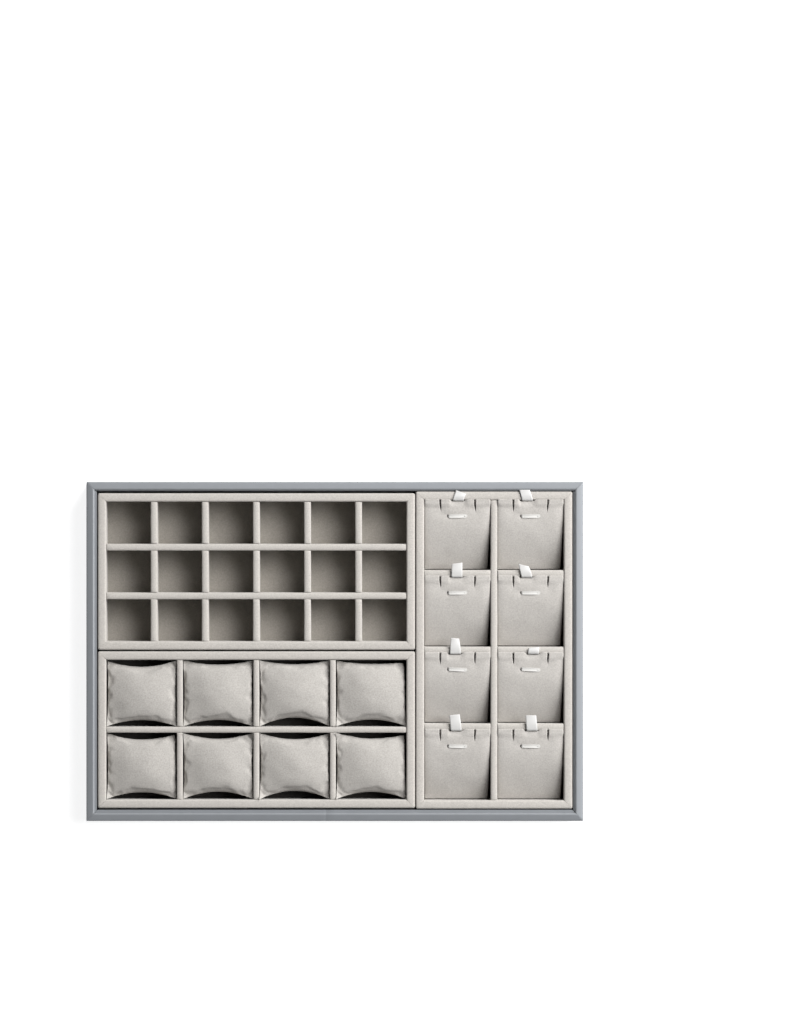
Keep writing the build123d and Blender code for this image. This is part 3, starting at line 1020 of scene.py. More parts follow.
def lip_points(back, top, wall, settings):
    """Points of the top edge of a pad, each where it is plain and where its lip leans on the wall behind

    The wall is its face, its top, how far its rounding falls and how deep that is, and how far the lip
    reaches over it."""
    face, wall_top, fall, depth, over = wall
    bend = settings.top_round
    over = over * MM

    def wall_z(d):
        return wall_top - fall * (1 - math.sqrt(1 - (max(depth - d, 0.0) / depth) ** 2))

    clear = 0.14 * MM
    tip = wall_z(over) + clear + 0.4 * MM
    crest = max(top, wall_z(over)) + settings.lip
    leaning = [
        (back, top - bend - 1.0 * MM),
        (back + 0.1 * MM, top - bend),
        (face - 0.3 * MM, top - bend + 0.5 * MM),
        (face, wall_z(0.0) + clear),
        (face + over * 0.3, wall_z(over * 0.3) + clear),
        (face + over * 0.75, wall_z(over * 0.75) + clear),
        (face + over, tip),
        (face + over - 0.1 * MM, (tip + crest) / 2),
        (face + over - 0.45 * MM, crest - 0.08 * MM),
        (face + over * 0.45, crest),
        (back + 0.2 * MM, crest - 0.15 * MM),
        (back - bend, top + (crest - top) * 0.75),
    ]
    plain = [(back, top - bend - (2.4 - 0.6 * i) * MM) for i in range(4)]
    plain += arc_points((back - bend, top - bend), bend, 0, 90, 7)
    return list(zip(plain, leaning)), crest - top


# Pendant pads


def pad_rows(low, high, rim, wall, settings):
    """Rows of a pad from the foot of its back leg over the top edge and down its slope to the front

    Each row is the outer point where the edge is plain and where its lip leans on the wall, the inner
    point, which way is out, all in Y and Z, and the way from the top edge."""
    (centre_y, centre_z), radius = pad_arc(low, high, rim, settings)
    front, back, floor, top = low.y, high.y, low.z, rim - settings.top_drop
    bend, roll, board = settings.top_round, settings.roll, settings.board
    leg_inside, foot_inside = back - settings.leg, front + settings.leg

    def inner(lean):
        size = radius - board
        y = min(max(centre_y - size * math.sin(lean), foot_inside), leg_inside)
        return y, centre_z + math.sqrt(size**2 - (centre_y - y) ** 2)

    rows = []
    edge, lift = lip_points(back, top, wall, settings)
    start_z = edge[0][0][1]
    for i in range(7):
        z = floor + (start_z - floor) * i / 7
        point = (back, z)
        rows.append((point, point, (leg_inside, min(z, inner(0.0)[1])), (1.0, 0.0), z - top))
    for i, (plain, leaning) in enumerate(edge):
        turn = math.radians(90 * max(0, i - 4) / (len(edge) - 5))
        way = (plain[1] - top) if i < 4 else bend * (i / (len(edge) - 1) - 1)
        rows.append((plain, leaning, inner(0.0), (math.cos(turn), math.sin(turn)), way))
    first = math.asin((centre_y - back + bend) / radius)
    last = math.asin((centre_y - front - roll) / (radius - roll))
    length = radius * (last - first)
    ways = [w * MM for w in (0.5, 1.0, 1.6, 2.3, 3.1, 4, 5, 6, 7, 8, 9, 10, 11, 11.6, 12.2)]
    ways += [ways[-1] + (length - ways[-1]) * i / 30 for i in range(1, 31)]
    for way in ways:
        lean = first + way / radius
        out = (-math.sin(lean), math.cos(lean))
        point = (centre_y + radius * out[0], centre_z + radius * out[1])
        fade = 1.0 if way < 1 * MM else 1 - smooth(way / (6 * MM))
        raised = (point[0], point[1] + lift * (0.75 * fade))
        rows.append((point, raised, inner(lean), out, way))
    middle = (centre_y - (radius - roll) * math.sin(last), centre_z + (radius - roll) * math.cos(last))
    for i in range(1, 7):
        lean = last + (math.pi / 2 - last) * i / 6
        out = (-math.sin(lean), math.cos(lean))
        point = (middle[0] + roll * out[0], middle[1] + roll * out[1])
        rows.append((point, point, inner(last), out, length + roll * (lean - last)))
    total = rows[-1][4]
    for i in range(1, 5):
        point = (front, middle[1] + (floor - middle[1]) * i / 4)
        inside = (foot_inside, min(inner(last)[1], point[1]))
        rows.append((point, point, inside, (-1.0, 0.0), total + i * MM))
    return rows, total


SLIT_START = -4 * MM  # behind the top edge of a pad, so that a chain slit is open there
SLIT_LEAN = 0.55  # below 1, a slit is widest near the top edge
TUCK_HALF = 1.3 * MM  # half the length of a tuck hole, down the pad


def slit(x, start, end, gape, slant=0.0, lean=1.0):
    """A slit in a pad: its place across, where it starts and ends, and its width, slant and lean"""
    return {"x": x, "start": start, "end": end, "gape": gape, "slant": slant, "lean": lean}


def slit_gape(kind, way):
    """Half the width of a slit at a way from the top edge"""
    start, end, gape = kind["start"], kind["end"], kind["gape"]
    if way <= start or way >= end:
        return 0.0
    part = (way - start) / (end - start)
    return gape / 2 * math.sin(math.pi * part ** kind["lean"]) ** 0.8


# How far the two chain slits of each pad slant to the right on their way down, as a share of that way
SLIT_SLANTS = (
    (0.09, 0.09),
    (0.0, -0.08),
    (0.06, 0.0),
    (0.01, -0.02),
    (0.0, 0.02),
    (0.02, 0.0),
    (0.02, -0.01),
    (-0.02, 0.01),
)


def pad_columns(half, slits):
    """Columns across a pad: places with no slit open, and for each slit its two edge columns"""
    steps = [0.0, 0.12, 0.35, 0.75, 1.3, 2.2]
    marks = []
    for number, kind in enumerate(slits):
        for side in (-1, 1):
            marks += [(kind["x"] + side * s * MM, number, side) for s in steps]
    marks += [(side * (half - s * MM), None, 0) for side in (-1, 1) for s in steps]
    marks.sort(key=lambda m: (round(m[0] / MM, 4), m[2]))
    columns = [marks[0]]
    for mark in marks[1:]:
        gap = mark[0] - columns[-1][0]
        count = int(gap // (2.4 * MM))
        base = columns[-1][0]
        columns += [(base + gap * i / (count + 1), None, 0) for i in range(1, count + 1)]
        columns.append(mark)
    return columns


def rounded_by(distance, reach, depth):
    """How far a rounded edge falls at a distance from it"""
    near = max(0.0, 1 - distance / reach)
    return depth * (1 - math.sqrt(max(0.0, 1 - near**2)))


def pad_piece(name, low, high, rim, wall, ribbon_x, slits, settings, dimples, seed):
    """A padded board on two legs with slits right through it, its top edge leaning on the wall behind"""
    rows, total = pad_rows(low, high, rim, wall, settings)
    half = (high.x - low.x) / 2
    middle = (low.x + high.x) / 2
    columns = pad_columns(half, slits)
    outer, inner = [], []
    for plain, leaning, inside, out, way in rows:
        on_slope = min(max(way / (4 * MM), 0.0), 1.0) * min(max((total - way) / (7 * MM), 0.0), 1.0)
        part = min(max(way, 0.0) / total, 1.0)
        flare = settings.flare * (1 - smooth(way / (4 * MM)))
        draw = {-1: 0.3 * MM * part - settings.flare, 1: settings.taper * part**1.6 - flare}
        for x, number, side in columns:
            place = x * (1 - draw[-1 if x < 0 else 1] / half)
            beside_ribbon = smooth((abs(x - ribbon_x) - 6.2 * MM) / (3 * MM))
            lip = beside_ribbon * smooth((half - abs(x)) / (2 * MM) + 0.45)
            lip *= 0.92 + 0.12 * noise.noise(Vector((x * 45, seed * 3.1, 0.0)))
            round_off = 0.0
            for i, kind in enumerate(slits):
                reach = abs(x - kind["x"])
                gape = slit_gape(kind, way)
                if reach < SLIT_REACH:
                    fade = 1 - reach / SLIT_REACH
                    toward = side if number == i else math.copysign(1, x - kind["x"])
                    place += toward * gape * fade + kind["slant"] * way * fade * on_slope
                    if gape > 0:
                        opened = min(1.0, gape / (0.3 * MM))
                        round_off += rounded_by(reach, EDGE_ROUND, SLIT_ROUND) * opened
            round_off += rounded_by(half - abs(x), EDGE_ROUND, EDGE_ROUND)
            reach = (5 if x < 0 else 8) * MM
            round_off += on_slope * settings.side_fall * max(0.0, 1 - (half - abs(x)) / reach) ** 2
            puff = settings.puff * (1 - (x / half) ** 4)
            for dx, dway, size, depth in dimples:
                far = ((x - dx) / size[0]) ** 2 + ((way - dway) / size[1]) ** 2
                puff -= depth * math.exp(-far)
            puff += noise.noise(Vector((x * 50, way * 50, seed))) * 0.45 * MM
            rise = puff * on_slope - round_off
            y = plain[0] + (leaning[0] - plain[0]) * lip + out[0] * rise
            z = plain[1] + (leaning[1] - plain[1]) * lip + out[1] * rise
            outer.append((middle + place, y, z))
            inner.append((middle + place, *inside))
    return stitched_board(name, outer, inner, len(rows), columns, [row[4] for row in rows], slits)


def stitched_board(name, outer, inner, row_count, columns, ways, slits):
    """Closes the outer and inner skins of a board along its borders and its slits"""
    width = len(columns)
    shift = len(outer)

    def slit_between(c):
        a, b = columns[c], columns[c + 1]
        return a[1] if a[1] is not None and a[1] == b[1] and a[2] == -1 and b[2] == 1 else None

    faces = []
    for r in range(row_count - 1):
        for c in range(width - 1):
            a, b = r * width + c, r * width + c + 1
            quad = (a, b, b + width, a + width)
            number = slit_between(c)
            if number is None:
                faces.append(quad)
                faces.append(tuple(i + shift for i in reversed(quad)))
                continue
            open_here = slit_gape(slits[number], ways[r]) > 0
            open_next = slit_gape(slits[number], ways[r + 1]) > 0
            if open_here or open_next:
                faces.append((a, a + width, a + width + shift, a + shift))
                faces.append((b + width, b, b + shift, b + width + shift))
    for r in range(row_count - 1):
        for c, turn in ((0, False), (width - 1, True)):
            a = r * width + c
            quad = (a, a + width, a + width + shift, a + shift)
            faces.append(quad[::-1] if turn else quad)
    for r, turn in ((0, True), (row_count - 1, False)):
        for c in range(width - 1):
            a = r * width + c
            quad = (a, a + 1, a + 1 + shift, a + shift)
            faces.append(quad[::-1] if turn else quad)
    piece = mesh_piece(name, outer + inner, faces, 50.0)
    return merged(piece)


# Straps and ribbons

STRAP_THICKNESS = 0.8 * MM
STRAP_WIDTH = 3.8 * MM
STRAP_SIDES = 12  # points round a strap
PIN_RADIUS = 0.62 * MM
PIN_HEIGHT = 0.32 * MM
GROOVE_DEPTH = 0.32 * MM


def strap_piece(name, middle, length, lean, turn, arch):
    """A flat keeper strap: it comes out of the tuck hole, lies over the pad and ends round, pinned"""
    thickness, width = STRAP_THICKNESS, STRAP_WIDTH
    turn = math.radians(turn)
    rings = []
    steps = 28
    for i in range(steps + 1):
        part = i / steps
        s = -length / 2 + length * part
        ends = min(1.0, (length / 2 - abs(s)) / (width * 0.5))
        wide = width / 2 * math.sqrt(max(0.03, 1 - (1 - ends) ** 2))
        dive = max(0.0, 1 - part / 0.06)
        lift = arch * math.sin(math.pi * min(1.0, part * 1.12)) ** 0.8 - dive**1.5 * 2.4 * MM
        thick = thickness / 2 * (1.0 if ends >= 1 else 0.55 + 0.45 * ends)
        ring = []
        for k in range(STRAP_SIDES):
            a = 2 * math.pi * k / STRAP_SIDES
            c, n = math.cos(a), math.sin(a)
            across = wide * math.copysign(abs(c) ** 0.45, c)
            groove = 0.0
            if n > 0:
                groove = GROOVE_DEPTH * max(0.0, 1 - (abs(c) / 0.7) ** 4) * min(1.0, ends)
            up = thick * math.copysign(abs(n) ** 0.6, n) + thickness / 2 + lift - groove
            ring.append((s, across, up))
        rings.append(ring)
    faces = tube_faces(len(rings), STRAP_SIDES)
    pin, pin_faces = pin_points(length, arch)
    start = STRAP_SIDES * len(rings)
    faces += [tuple(start + i for i in face) for face in pin_faces]
    vertices = []
    for s, across, up in [point for ring in rings for point in ring] + pin:
        x = s * math.cos(turn) - across * math.sin(turn)
        w = s * math.sin(turn) + across * math.cos(turn)
        y = w * math.cos(lean) - up * math.sin(lean)
        z = w * math.sin(lean) + up * math.cos(lean)
        vertices.append((middle.x + x, middle.y + y, middle.z + z))
    return merged(mesh_piece(name, vertices, faces, 45.0), 0.001 * MM)


def pin_points(length, arch):
    """A small domed pin near the round end of a strap"""
    rings, sides = 4, 10
    place = length / 2 - STRAP_WIDTH * 0.62
    base = STRAP_THICKNESS + 0.02 * MM + arch * 0.35
    points = []
    for r in range(rings):
        angle = math.pi / 2 * r / rings
        radius = PIN_RADIUS * math.cos(angle)
        for k in range(sides):
            a = 2 * math.pi * k / sides
            up = base + PIN_HEIGHT * math.sin(angle)
            points.append((place + radius * math.cos(a), radius * math.sin(a), up))
    points.append((place, 0.0, base + PIN_HEIGHT))
    faces = tube_faces(rings, sides, capped=False)
    last = (rings - 1) * sides
    faces += [(last + k, last + (k + 1) % sides, len(points) - 1) for k in range(sides)]
    faces.append(tuple(range(sides))[::-1])
    return points, faces


# How each keeper strap is turned on its pad, in degrees
STRAP_TURNS = (1.5, 0.5, 1.0, 0.0, -3.0, -3.0, -1.0, -1.0)


# Each pull ribbon from pad 1 on, row by row from the back left: tail in plan, how far its end leans
# sideways, how its cut slants, how much it narrows, all in millimetres but the last, and its curl
RIBBON_TAILS = (
    (9.4, 3.0, -4.0, 0.97, 0.4),
    (11.7, -3.0, 0.0, 0.97, 0.2),
    (15.1, 0.2, 1.4, 0.97, 0.5),
    (13.2, -3.4, -2.6, 0.94, 0.5),
    (17.0, -0.4, -0.8, 0.74, 1.0),
    (7.4, 0.6, 1.2, 0.98, 0.3),
    (17.2, -1.8, 1.2, 0.96, 0.5),
    (16.6, -1.2, 0.0, 0.98, 0.5),
)


RIBBON_BEND = 2.4 * MM  # radius over the wall
RIBBON_CLEAR = 0.75 * MM  # between the wall and the middle of the ribbon
RIBBON_RISE = 9.0  # degrees that a tail leans up from level
TAIL_START = 14  # the point of a ribbon's line, near the end of the bend, where its tail begins


def ribbon_piece(name, low, high, wall_top, tail, settings):
    """A pull ribbon: glued up the back of the leg, bent over the wall, its tail leaning out"""
    reach, lean, slant, narrow, curl = tail
    reach, lean, slant = reach * MM, lean * MM, slant * MM
    half = settings.ribbon_width / 2
    middle = (low.x + high.x) / 2
    y0 = low.y + settings.ribbon_thickness / 2
    bend = RIBBON_BEND
    knee = wall_top + RIBBON_CLEAR
    line = [(y0, low.z + (knee - bend - low.z) * i / 8) for i in range(8)]
    rise = math.radians(RIBBON_RISE)
    line += arc_points((y0 + bend, knee - bend), bend, 180, 90 + math.degrees(rise), 7)
    start = line[-1]
    straight = reach - (start[0] - low.y)
    steps = 14
    for i in range(1, steps + 1):
        part = i / steps
        up = math.tan(rise) * straight * part - curl * 1.6 * MM * part**2 + 0.25 * MM * math.sin(5 * part)
        line.append((start[0] + straight * part, start[1] + up))
    lengths = [0.0]
    for a, b in zip(line, line[1:]):
        lengths.append(lengths[-1] + math.dist(a, b))
    across = 10
    vertices, uvs = [], []
    tail_start = lengths[TAIL_START]
    for (y, z), way in zip(line, lengths):
        part = max(0.0, (way - tail_start) / (lengths[-1] - tail_start))
        for k in range(across + 1):
            side = 2 * k / across - 1
            wide = half * (1 - (1 - narrow) * part**1.5)
            cut = slant * side * part**2 / 2
            cup = -0.35 * MM * side**2 * part * (1 + curl)
            vertices.append((middle + side * wide + lean * part**1.2, y + cut, z + cup))
            uvs.append((side * half, way))
    faces = []
    for r in range(len(line) - 1):
        for k in range(across):
            a = r * (across + 1) + k
            faces.append((a, a + across + 1, a + across + 2, a + 1))
    piece = mesh_piece(name, vertices, faces, 180.0)
    layer = piece.data.uv_layers.new(name="cloth")
    for loop in piece.data.loops:
        layer.data[loop.index].uv = uvs[loop.vertex_index]
    applied(
        piece, "SOLIDIFY", thickness=settings.ribbon_thickness * 0.85, offset=0.0, use_even_offset=True
    )
    return piece, lengths[-1]


# Operators


class TRAY_OT_frame(bpy.types.Operator):
    """Wraps the four mitred rails of the tray in artificial leather"""

    bl_idname = "display_tray.frame"
    bl_label = "Wrapped Frame"

    def execute(self, context):
        settings = context.scene.tray_wrap
        material = wrap_material(settings)
        board_low, board_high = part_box("base_board")
        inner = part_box("frame_rail_left")[1].x
        joint = (settings.joint_place - TRAY_LOW.x) / (TRAY_HIGH.x - TRAY_LOW.x)
        for side, turn_out in zip(SIDES, TURN_INS):
            section, edge = rail_section(
                inner - TRAY_LOW.x,
                TRAY_LOW.z,
                TRAY_HIGH.z,
                settings.arris,
                settings.inner_arris,
                inner - board_low.x,
                board_high.z,
                settings.crown,
                settings.fall,
                (turn_out * MM, settings.turn_drop),
            )
            piece = rail_piece(
                f"frame_wrap_{side}",
                TRAY_LOW,
                TRAY_HIGH,
                side,
                section,
                edge,
                0.0,
                settings.mitre_lip,
                step=12 * MM,
                joint=joint if side == "front" else None,
                joint_depth=settings.joint_depth,
            )
            dress(piece, "tray", material, [f"frame_rail_{side}"])
        return {"FINISHED"}


class TRAY_OT_base(bpy.types.Operator):
    """Finishes the base board, its lining and the felt underside"""

    bl_idname = "display_tray.base"
    bl_label = "Base, Lining and Felt"

    def execute(self, context):
        dress_node("base_board", board_material())
        dress_node("base_lining", lining_material())
        dress_node("felt_underside", felt_material())
        return {"FINISHED"}


class TRAY_OT_inserts(bpy.types.Operator):
    """Makes the suede rails, dividers and floors of the three inserts"""

    bl_idname = "display_tray.inserts"
    bl_label = "Suede Inserts"

    def execute(self, context):
        settings = context.scene.tray_suede
        noise.seed_set(SWAY_SEED)
        rims = suede("suede_of_rims", settings.tone)
        floors = {
            # The cell floors are darker than the rails: painted shade in the cells
            "ring_insert": suede("suede_of_cells_painted_shade", settings.cell_floor_tone_with_painted_shade, speckle=0.8, stroke=0.16),
            # Painted shade: the floor under the pillows is nearly black so that the gaps round them look
            # dark
            "pillow_insert": suede("painted_shade_under_pillows", settings.under_pillow_painted_shade_tone, stroke=0.16),
        }
        floors["pendant_insert"] = floors["ring_insert"]
        for insert in INSERTS:
            low, high = joined_box([f"{insert}_rail_{side}" for side in SIDES])
            floor_low, floor_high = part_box(f"{insert}_floor")
            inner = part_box(f"{insert}_rail_left")[1].x
            section, edge = rail_section(
                inner - low.x,
                low.z,
                high.z,
                settings.rim_round,
                settings.rim_round,
                inner - floor_low.x,
                floor_high.z,
                0.15 * MM,
            )
            for side in SIDES:
                name = f"{insert}_rail_{side}"
                piece = rail_piece(
                    f"{insert}_rim_{side}",
                    low,
                    high,
                    side,
                    section,
                    edge,
                    settings.corner,
                    settings.mitre_lip,
                    sway=settings.sway,
                )
                dress(piece, insert, rims, [name])
            self.dividers(insert, low, high, inner - low.x, floor_high.z, settings, rims)
            dress_node(f"{insert}_floor", floors[insert])
        return {"FINISHED"}

    def dividers(self, insert, low, high, wall, floor, settings, material):
        """Long and cross dividers of one insert, each set as one piece"""
        long_axis = 0 if high.x - low.x > high.y - low.y else 1
        inside_low, inside_high = low + Vector((wall, wall, 0)), high - Vector((wall, wall, 0))
        combs = {}
        for kind, axis in (("long", 1 - long_axis), ("cross", long_axis)):
            node = f"{insert}_{kind}_dividers"
            count = divider_count(node, inside_low, axis)
            combs[kind] = (node, axis, count, *comb_places(node, inside_low, inside_high, axis, count))
        for kind, other in (("long", "cross"), ("cross", "long")):
            node, axis, count, first, pitch, width = combs[kind]
            bar_axis = 1 - axis
            centre = (inside_low[bar_axis] + inside_high[bar_axis]) / 2
            laps = [combs[other][3] + i * combs[other][4] - centre for i in range(combs[other][2])]
            bar = divider_bar(
                f"{insert}_{kind}_bars",
                inside_high[bar_axis] - inside_low[bar_axis],
                width,
                settings.dome,
                floor,
                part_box(node)[1].z,
                laps,
                kind == "cross",
                bar_axis == 0,
                settings.sway,
            )
            place, step = [0.0, 0.0, 0.0], [0.0, 0.0, 0.0]
            place[axis], place[bar_axis], step[axis] = first, centre, pitch
            repeated(bar, comb_tree(), Count=count, First=place, Pitch=step, Suede=material)
            dress(bar, insert, material, [node])


def divider_count(node, low, axis):
    """How many equal dividers a node holds, from the gap that it leaves at the ends"""
    first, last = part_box(node)
    end_gap = first[axis] - low[axis]
    return round((last[axis] - first[axis] + end_gap) / (end_gap + WHOLE_BAR))


class TRAY_OT_pillows(bpy.types.Operator):
    """Makes the stuffed pillows, swollen by a cloth simulation"""

    bl_idname = "display_tray.pillows"
    bl_label = "Stuffed Pillows"

    def execute(self, context):
        settings = context.scene.tray_pillow
        tones = context.scene.tray_suede
        material = suede("suede_of_pillows", tones.pillow_tone, speckle=1.0, stroke=0.14, relief=0.4)
        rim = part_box("pillow_insert_rail_front")[1].z
        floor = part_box("pillow_insert_floor")[1].z + CELL_CLEAR
        levels = (rim - settings.seam_drop, rim + settings.crown, floor, rim)
        pieces, cells = [], []
        for number, shape in enumerate(PILLOWS, 1):
            low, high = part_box(f"pillow_{number}")
            centre, half = (low + high) / 2, (high - low) / 2
            upper, lower = pillow_points(
                settings, (centre.x, centre.y), (half.x, half.y), levels, shape, number
            )
            pieces.append(pillow_mesh(f"pillow_cover_{number}", upper, lower))
            cells.append(((low.x, low.y, floor), (high.x, high.y)))
        stuffed(pieces, settings)
        for number, (piece, (low, high)) in enumerate(zip(pieces, cells), 1):
            kept_inside(piece, low, high, rim, COVER_OVERHANG)
            piece.vertex_groups.clear()
            applied(piece, "SUBSURF", levels=1, render_levels=1)
            dress(piece, f"pillow_{number}", material, [f"pillow_{number}"])
        return {"FINISHED"}


class TRAY_OT_pads(bpy.types.Operator):
    """Makes the sloping pendant pads with their slits and tuck holes"""

    bl_idname = "display_tray.pads"
    bl_label = "Pendant Pads"

    def execute(self, context):
        settings = context.scene.tray_pad
        tones = context.scene.tray_suede
        material = suede("suede_of_pads", tones.pad_tone, speckle=0.9, stroke=0.12)
        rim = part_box("pendant_insert_rail_back")[1].z
        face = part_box("pendant_insert_rail_back")[0].y
        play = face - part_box("pad_1")[1].y
        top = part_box("pendant_insert_cross_dividers")[1].z
        divider_low, divider_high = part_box("pendant_insert_long_dividers")
        width = divider_high.x - divider_low.x
        for number, slants in enumerate(SLIT_SLANTS, 1):
            low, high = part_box(f"pad_{number}")
            strap_low, strap_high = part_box(f"pad_strap_{number}")
            ribbon_low, ribbon_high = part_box(f"pad_ribbon_{number}")
            middle = (low.x + high.x) / 2
            if high.y + 2 * play > face:
                wall = (face, rim, tones.rim_round, tones.rim_round, LIP_OVER_RAIL)
            else:
                wall = (high.y + play, top, tones.dome, width / 2, LIP_OVER_DIVIDER)
            way = high.y - settings.top_round - (strap_low.y + strap_high.y) / 2
            end = settings.slit_length - settings.top_round - (wall[4] - LIP_OVER_RAIL) * MM
            beside = settings.slit_spacing / 2
            tuck = strap_low.x - middle + 0.2 * MM
            gape = settings.slit_gape
            slits = [
                slit(-beside, SLIT_START, end, gape, slants[0], SLIT_LEAN),
                slit(tuck, way - TUCK_HALF, way + TUCK_HALF, settings.tuck_gape),
                slit(beside, SLIT_START, end, gape, slants[1], SLIT_LEAN),
            ]
            dimples = [
                (0.0, way, (12 * MM, 4 * MM), 0.5 * MM),
                (tuck, way, (4 * MM, 3 * MM), 0.4 * MM),
                (-beside, end, (5 * MM, 5 * MM), 0.5 * MM),
                (beside, end, (5 * MM, 5 * MM), 0.5 * MM),
            ]
            ribbon_x = (ribbon_low.x + ribbon_high.x) / 2 - middle
            piece = pad_piece(
                f"pad_board_{number}", low, high, rim, wall, ribbon_x, slits, settings, dimples, number
            )
            dress(piece, f"pad_{number}", material, [f"pad_{number}"])
        return {"FINISHED"}


class TRAY_OT_straps(bpy.types.Operator):
    """Lays a pinned keeper strap over each pad"""

    bl_idname = "display_tray.straps"
    bl_label = "Keeper Straps"

    def execute(self, context):
        settings = context.scene.tray_trim
        material = strap_material(settings)
        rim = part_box("pendant_insert_rail_back")[1].z
        for number, turn in enumerate(STRAP_TURNS, 1):
            low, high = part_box(f"pad_strap_{number}")
            (centre_y, centre_z), radius = pad_arc(*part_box(f"pad_{number}"), rim, context.scene.tray_pad)
            middle = (low + high) / 2
            lean = math.asin((centre_y - middle.y) / radius)
            middle.z = centre_z + radius * math.cos(lean)
            piece = strap_piece(
                f"keeper_strap_{number}", middle, high.x - low.x, lean, turn, settings.strap_arch
            )
            dress(piece, f"pad_{number}", material, [f"pad_strap_{number}"])
        return {"FINISHED"}


class TRAY_OT_ribbons(bpy.types.Operator):
    """Makes the white pull ribbons behind the pads"""

    bl_idname = "display_tray.ribbons"
    bl_label = "Pull Ribbons"

    def execute(self, context):
        settings = context.scene.tray_trim
        material = ribbon_material(settings)
        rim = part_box("pendant_insert_rail_back")[1].z
        for number, tail in enumerate(RIBBON_TAILS, 1):
            low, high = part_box(f"pad_ribbon_{number}")
            piece, length = ribbon_piece(f"pull_ribbon_{number}", low, high, rim, tail, settings)
            dress(piece, f"pad_{number}", material, [f"pad_ribbon_{number}"])
        return {"FINISHED"}


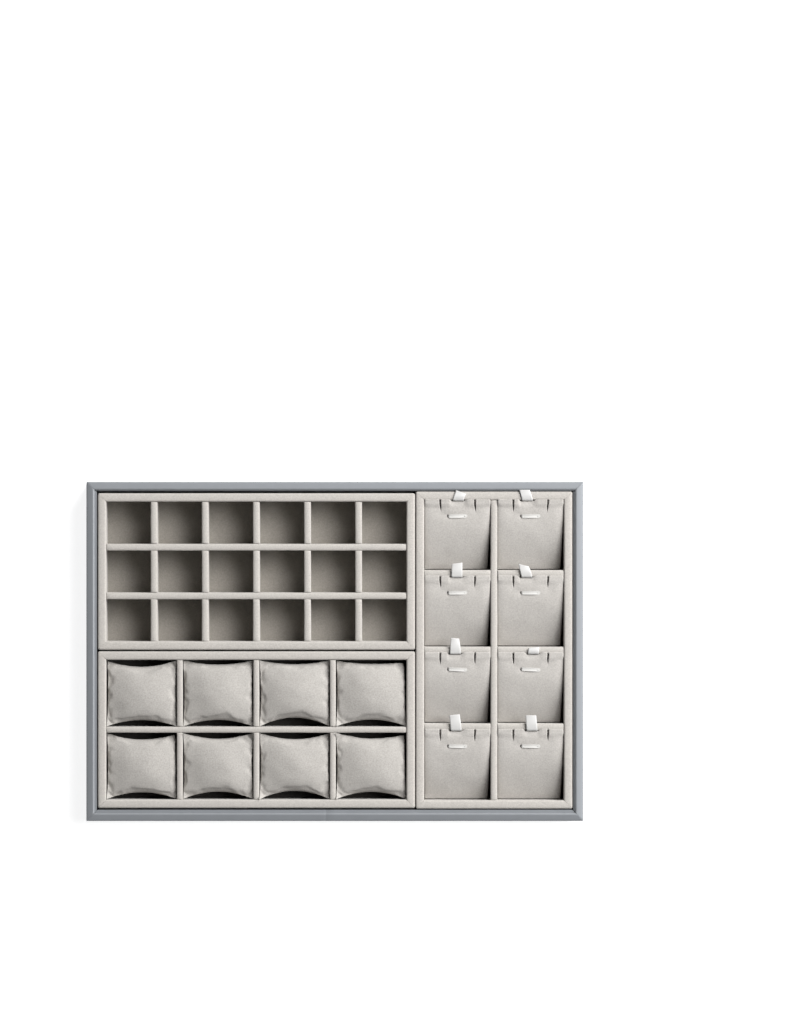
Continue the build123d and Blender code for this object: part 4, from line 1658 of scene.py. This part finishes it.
class TRAY_OT_stage(bpy.types.Operator):
    """Sets the floor, the lamp, the sky and the camera"""

    bl_idname = "display_tray.stage"
    bl_label = "Stage"

    def execute(self, context):
        settings = context.scene.tray_stage
        scene = context.scene
        self.floor()
        self.sky(settings)
        light = bpy.data.lights.new("soft_lamp", "AREA")
        light.shape = "SQUARE"
        light.size = settings.lamp_size
        light.energy = settings.lamp_power
        lamp = bpy.data.objects.new("soft_lamp", light)
        lamp.location = settings.lamp_place
        aim = Vector((0.0, 0.0, TRAY_HIGH.z)) - lamp.location
        lamp.rotation_euler = aim.to_track_quat("-Z", "Y").to_euler()
        scene.collection.objects.link(lamp)
        camera = bpy.data.objects.new("camera", bpy.data.cameras.new("camera"))
        scene.collection.objects.link(camera)
        middle_x = (PHOTO_WIDTH / 2 - settings.tray_middle[0]) * settings.pixel
        middle_y = (settings.tray_middle[1] - PHOTO_HEIGHT / 2) * settings.pixel
        camera.location = (middle_x, middle_y, TRAY_HIGH.z + settings.camera_height)
        camera.data.sensor_width = 36.0
        span = PHOTO_HEIGHT * settings.pixel
        camera.data.lens = camera.data.sensor_width * settings.camera_height / span
        camera.data.clip_end = 50.0
        scene.camera = camera
        scene.view_settings.view_transform = "Standard"
        return {"FINISHED"}

    def floor(self):
        """White floor that keeps the shadow of the tray"""
        reach = 6.0
        corners = [(-reach, -reach, 0), (reach, -reach, 0), (reach, reach, 0), (-reach, reach, 0)]
        piece = mesh_piece("floor", corners, [(0, 1, 2, 3)])
        material = bpy.data.materials.new("white_floor")
        material.use_nodes = True
        tree = material.node_tree
        tree.nodes.clear()
        out = tree.nodes.new("ShaderNodeOutputMaterial")
        matt = add(tree, "ShaderNodeBsdfDiffuse", Color=(0.9, 0.9, 0.9, 1.0))
        glow = add(tree, "ShaderNodeEmission", Color=(1.0, 1.0, 1.0, 1.0), Strength=0.8)
        both = tree.nodes.new("ShaderNodeAddShader")
        tree.links.new(matt.outputs[0], both.inputs[0])
        tree.links.new(glow.outputs[0], both.inputs[1])
        choice = tree.nodes.new("ShaderNodeMixShader")
        tree.links.new(seen_rays(tree), choice.inputs[0])
        tree.links.new(matt.outputs[0], choice.inputs[1])
        tree.links.new(both.outputs[0], choice.inputs[2])
        tree.links.new(choice.outputs[0], out.inputs["Surface"])
        piece.data.materials.append(material)

    def sky(self, settings):
        """Even light from all around, white where it is seen"""
        world = bpy.data.worlds.new("even_sky")
        bpy.context.scene.world = world
        world.use_nodes = True
        tree = world.node_tree
        tree.nodes.clear()
        out = tree.nodes.new("ShaderNodeOutputWorld")
        light = add(
            tree, "ShaderNodeBackground", Color=(0.97, 0.985, 1.0, 1.0), Strength=settings.sky
        )
        white = add(tree, "ShaderNodeBackground", Color=(1.0, 1.0, 1.0, 1.0), Strength=1.0)
        choice = tree.nodes.new("ShaderNodeMixShader")
        tree.links.new(seen_rays(tree), choice.inputs[0])
        tree.links.new(light.outputs[0], choice.inputs[1])
        tree.links.new(white.outputs[0], choice.inputs[2])
        tree.links.new(choice.outputs[0], out.inputs["Surface"])


def seen_rays(tree):
    """1 on rays from the camera, and on rays that a glossy or clear surface sends on"""
    path = tree.nodes.new("ShaderNodeLightPath")
    seen = math_node(tree, "MAXIMUM", path.outputs["Is Camera Ray"], path.outputs["Is Glossy Ray"])
    return math_node(tree, "MAXIMUM", seen, path.outputs["Is Transmission Ray"])


class TRAY_PT_panel(bpy.types.Panel):
    """Lists the steps that dress the tray"""

    bl_idname = "TRAY_PT_panel"
    bl_label = "Display Tray"
    bl_space_type = "VIEW_3D"
    bl_region_type = "UI"
    bl_category = "Display Tray"

    def draw(self, context):
        for label, group in SETTINGS.items():
            box = self.layout.box()
            box.label(text=group.__doc__)
            for prop in group.__annotations__:
                box.prop(getattr(context.scene, label), prop)
        for operator in OPERATORS:
            self.layout.operator(operator.bl_idname)


OPERATORS = (
    TRAY_OT_stage,
    TRAY_OT_frame,
    TRAY_OT_base,
    TRAY_OT_inserts,
    TRAY_OT_pillows,
    TRAY_OT_pads,
    TRAY_OT_straps,
    TRAY_OT_ribbons,
)


def register():
    """Registers the settings, the operators and the panel"""
    for label, group in SETTINGS.items():
        bpy.utils.register_class(group)
        setattr(bpy.types.Scene, label, PointerProperty(type=group))
    for operator in OPERATORS:
        bpy.utils.register_class(operator)
    bpy.utils.register_class(TRAY_PT_panel)


def unregister():
    """Takes them away again"""
    bpy.utils.unregister_class(TRAY_PT_panel)
    for operator in reversed(OPERATORS):
        bpy.utils.unregister_class(operator)
    for label, group in SETTINGS.items():
        delattr(bpy.types.Scene, label)
        bpy.utils.unregister_class(group)


def main():
    """Dresses the tray, step by step"""
    register()
    bpy.ops.display_tray.stage()
    bpy.ops.display_tray.frame()
    bpy.ops.display_tray.base()
    bpy.ops.display_tray.inserts()
    bpy.ops.display_tray.pillows()
    bpy.ops.display_tray.pads()
    bpy.ops.display_tray.straps()
    bpy.ops.display_tray.ribbons()


if __name__ == "__main__":
    main()
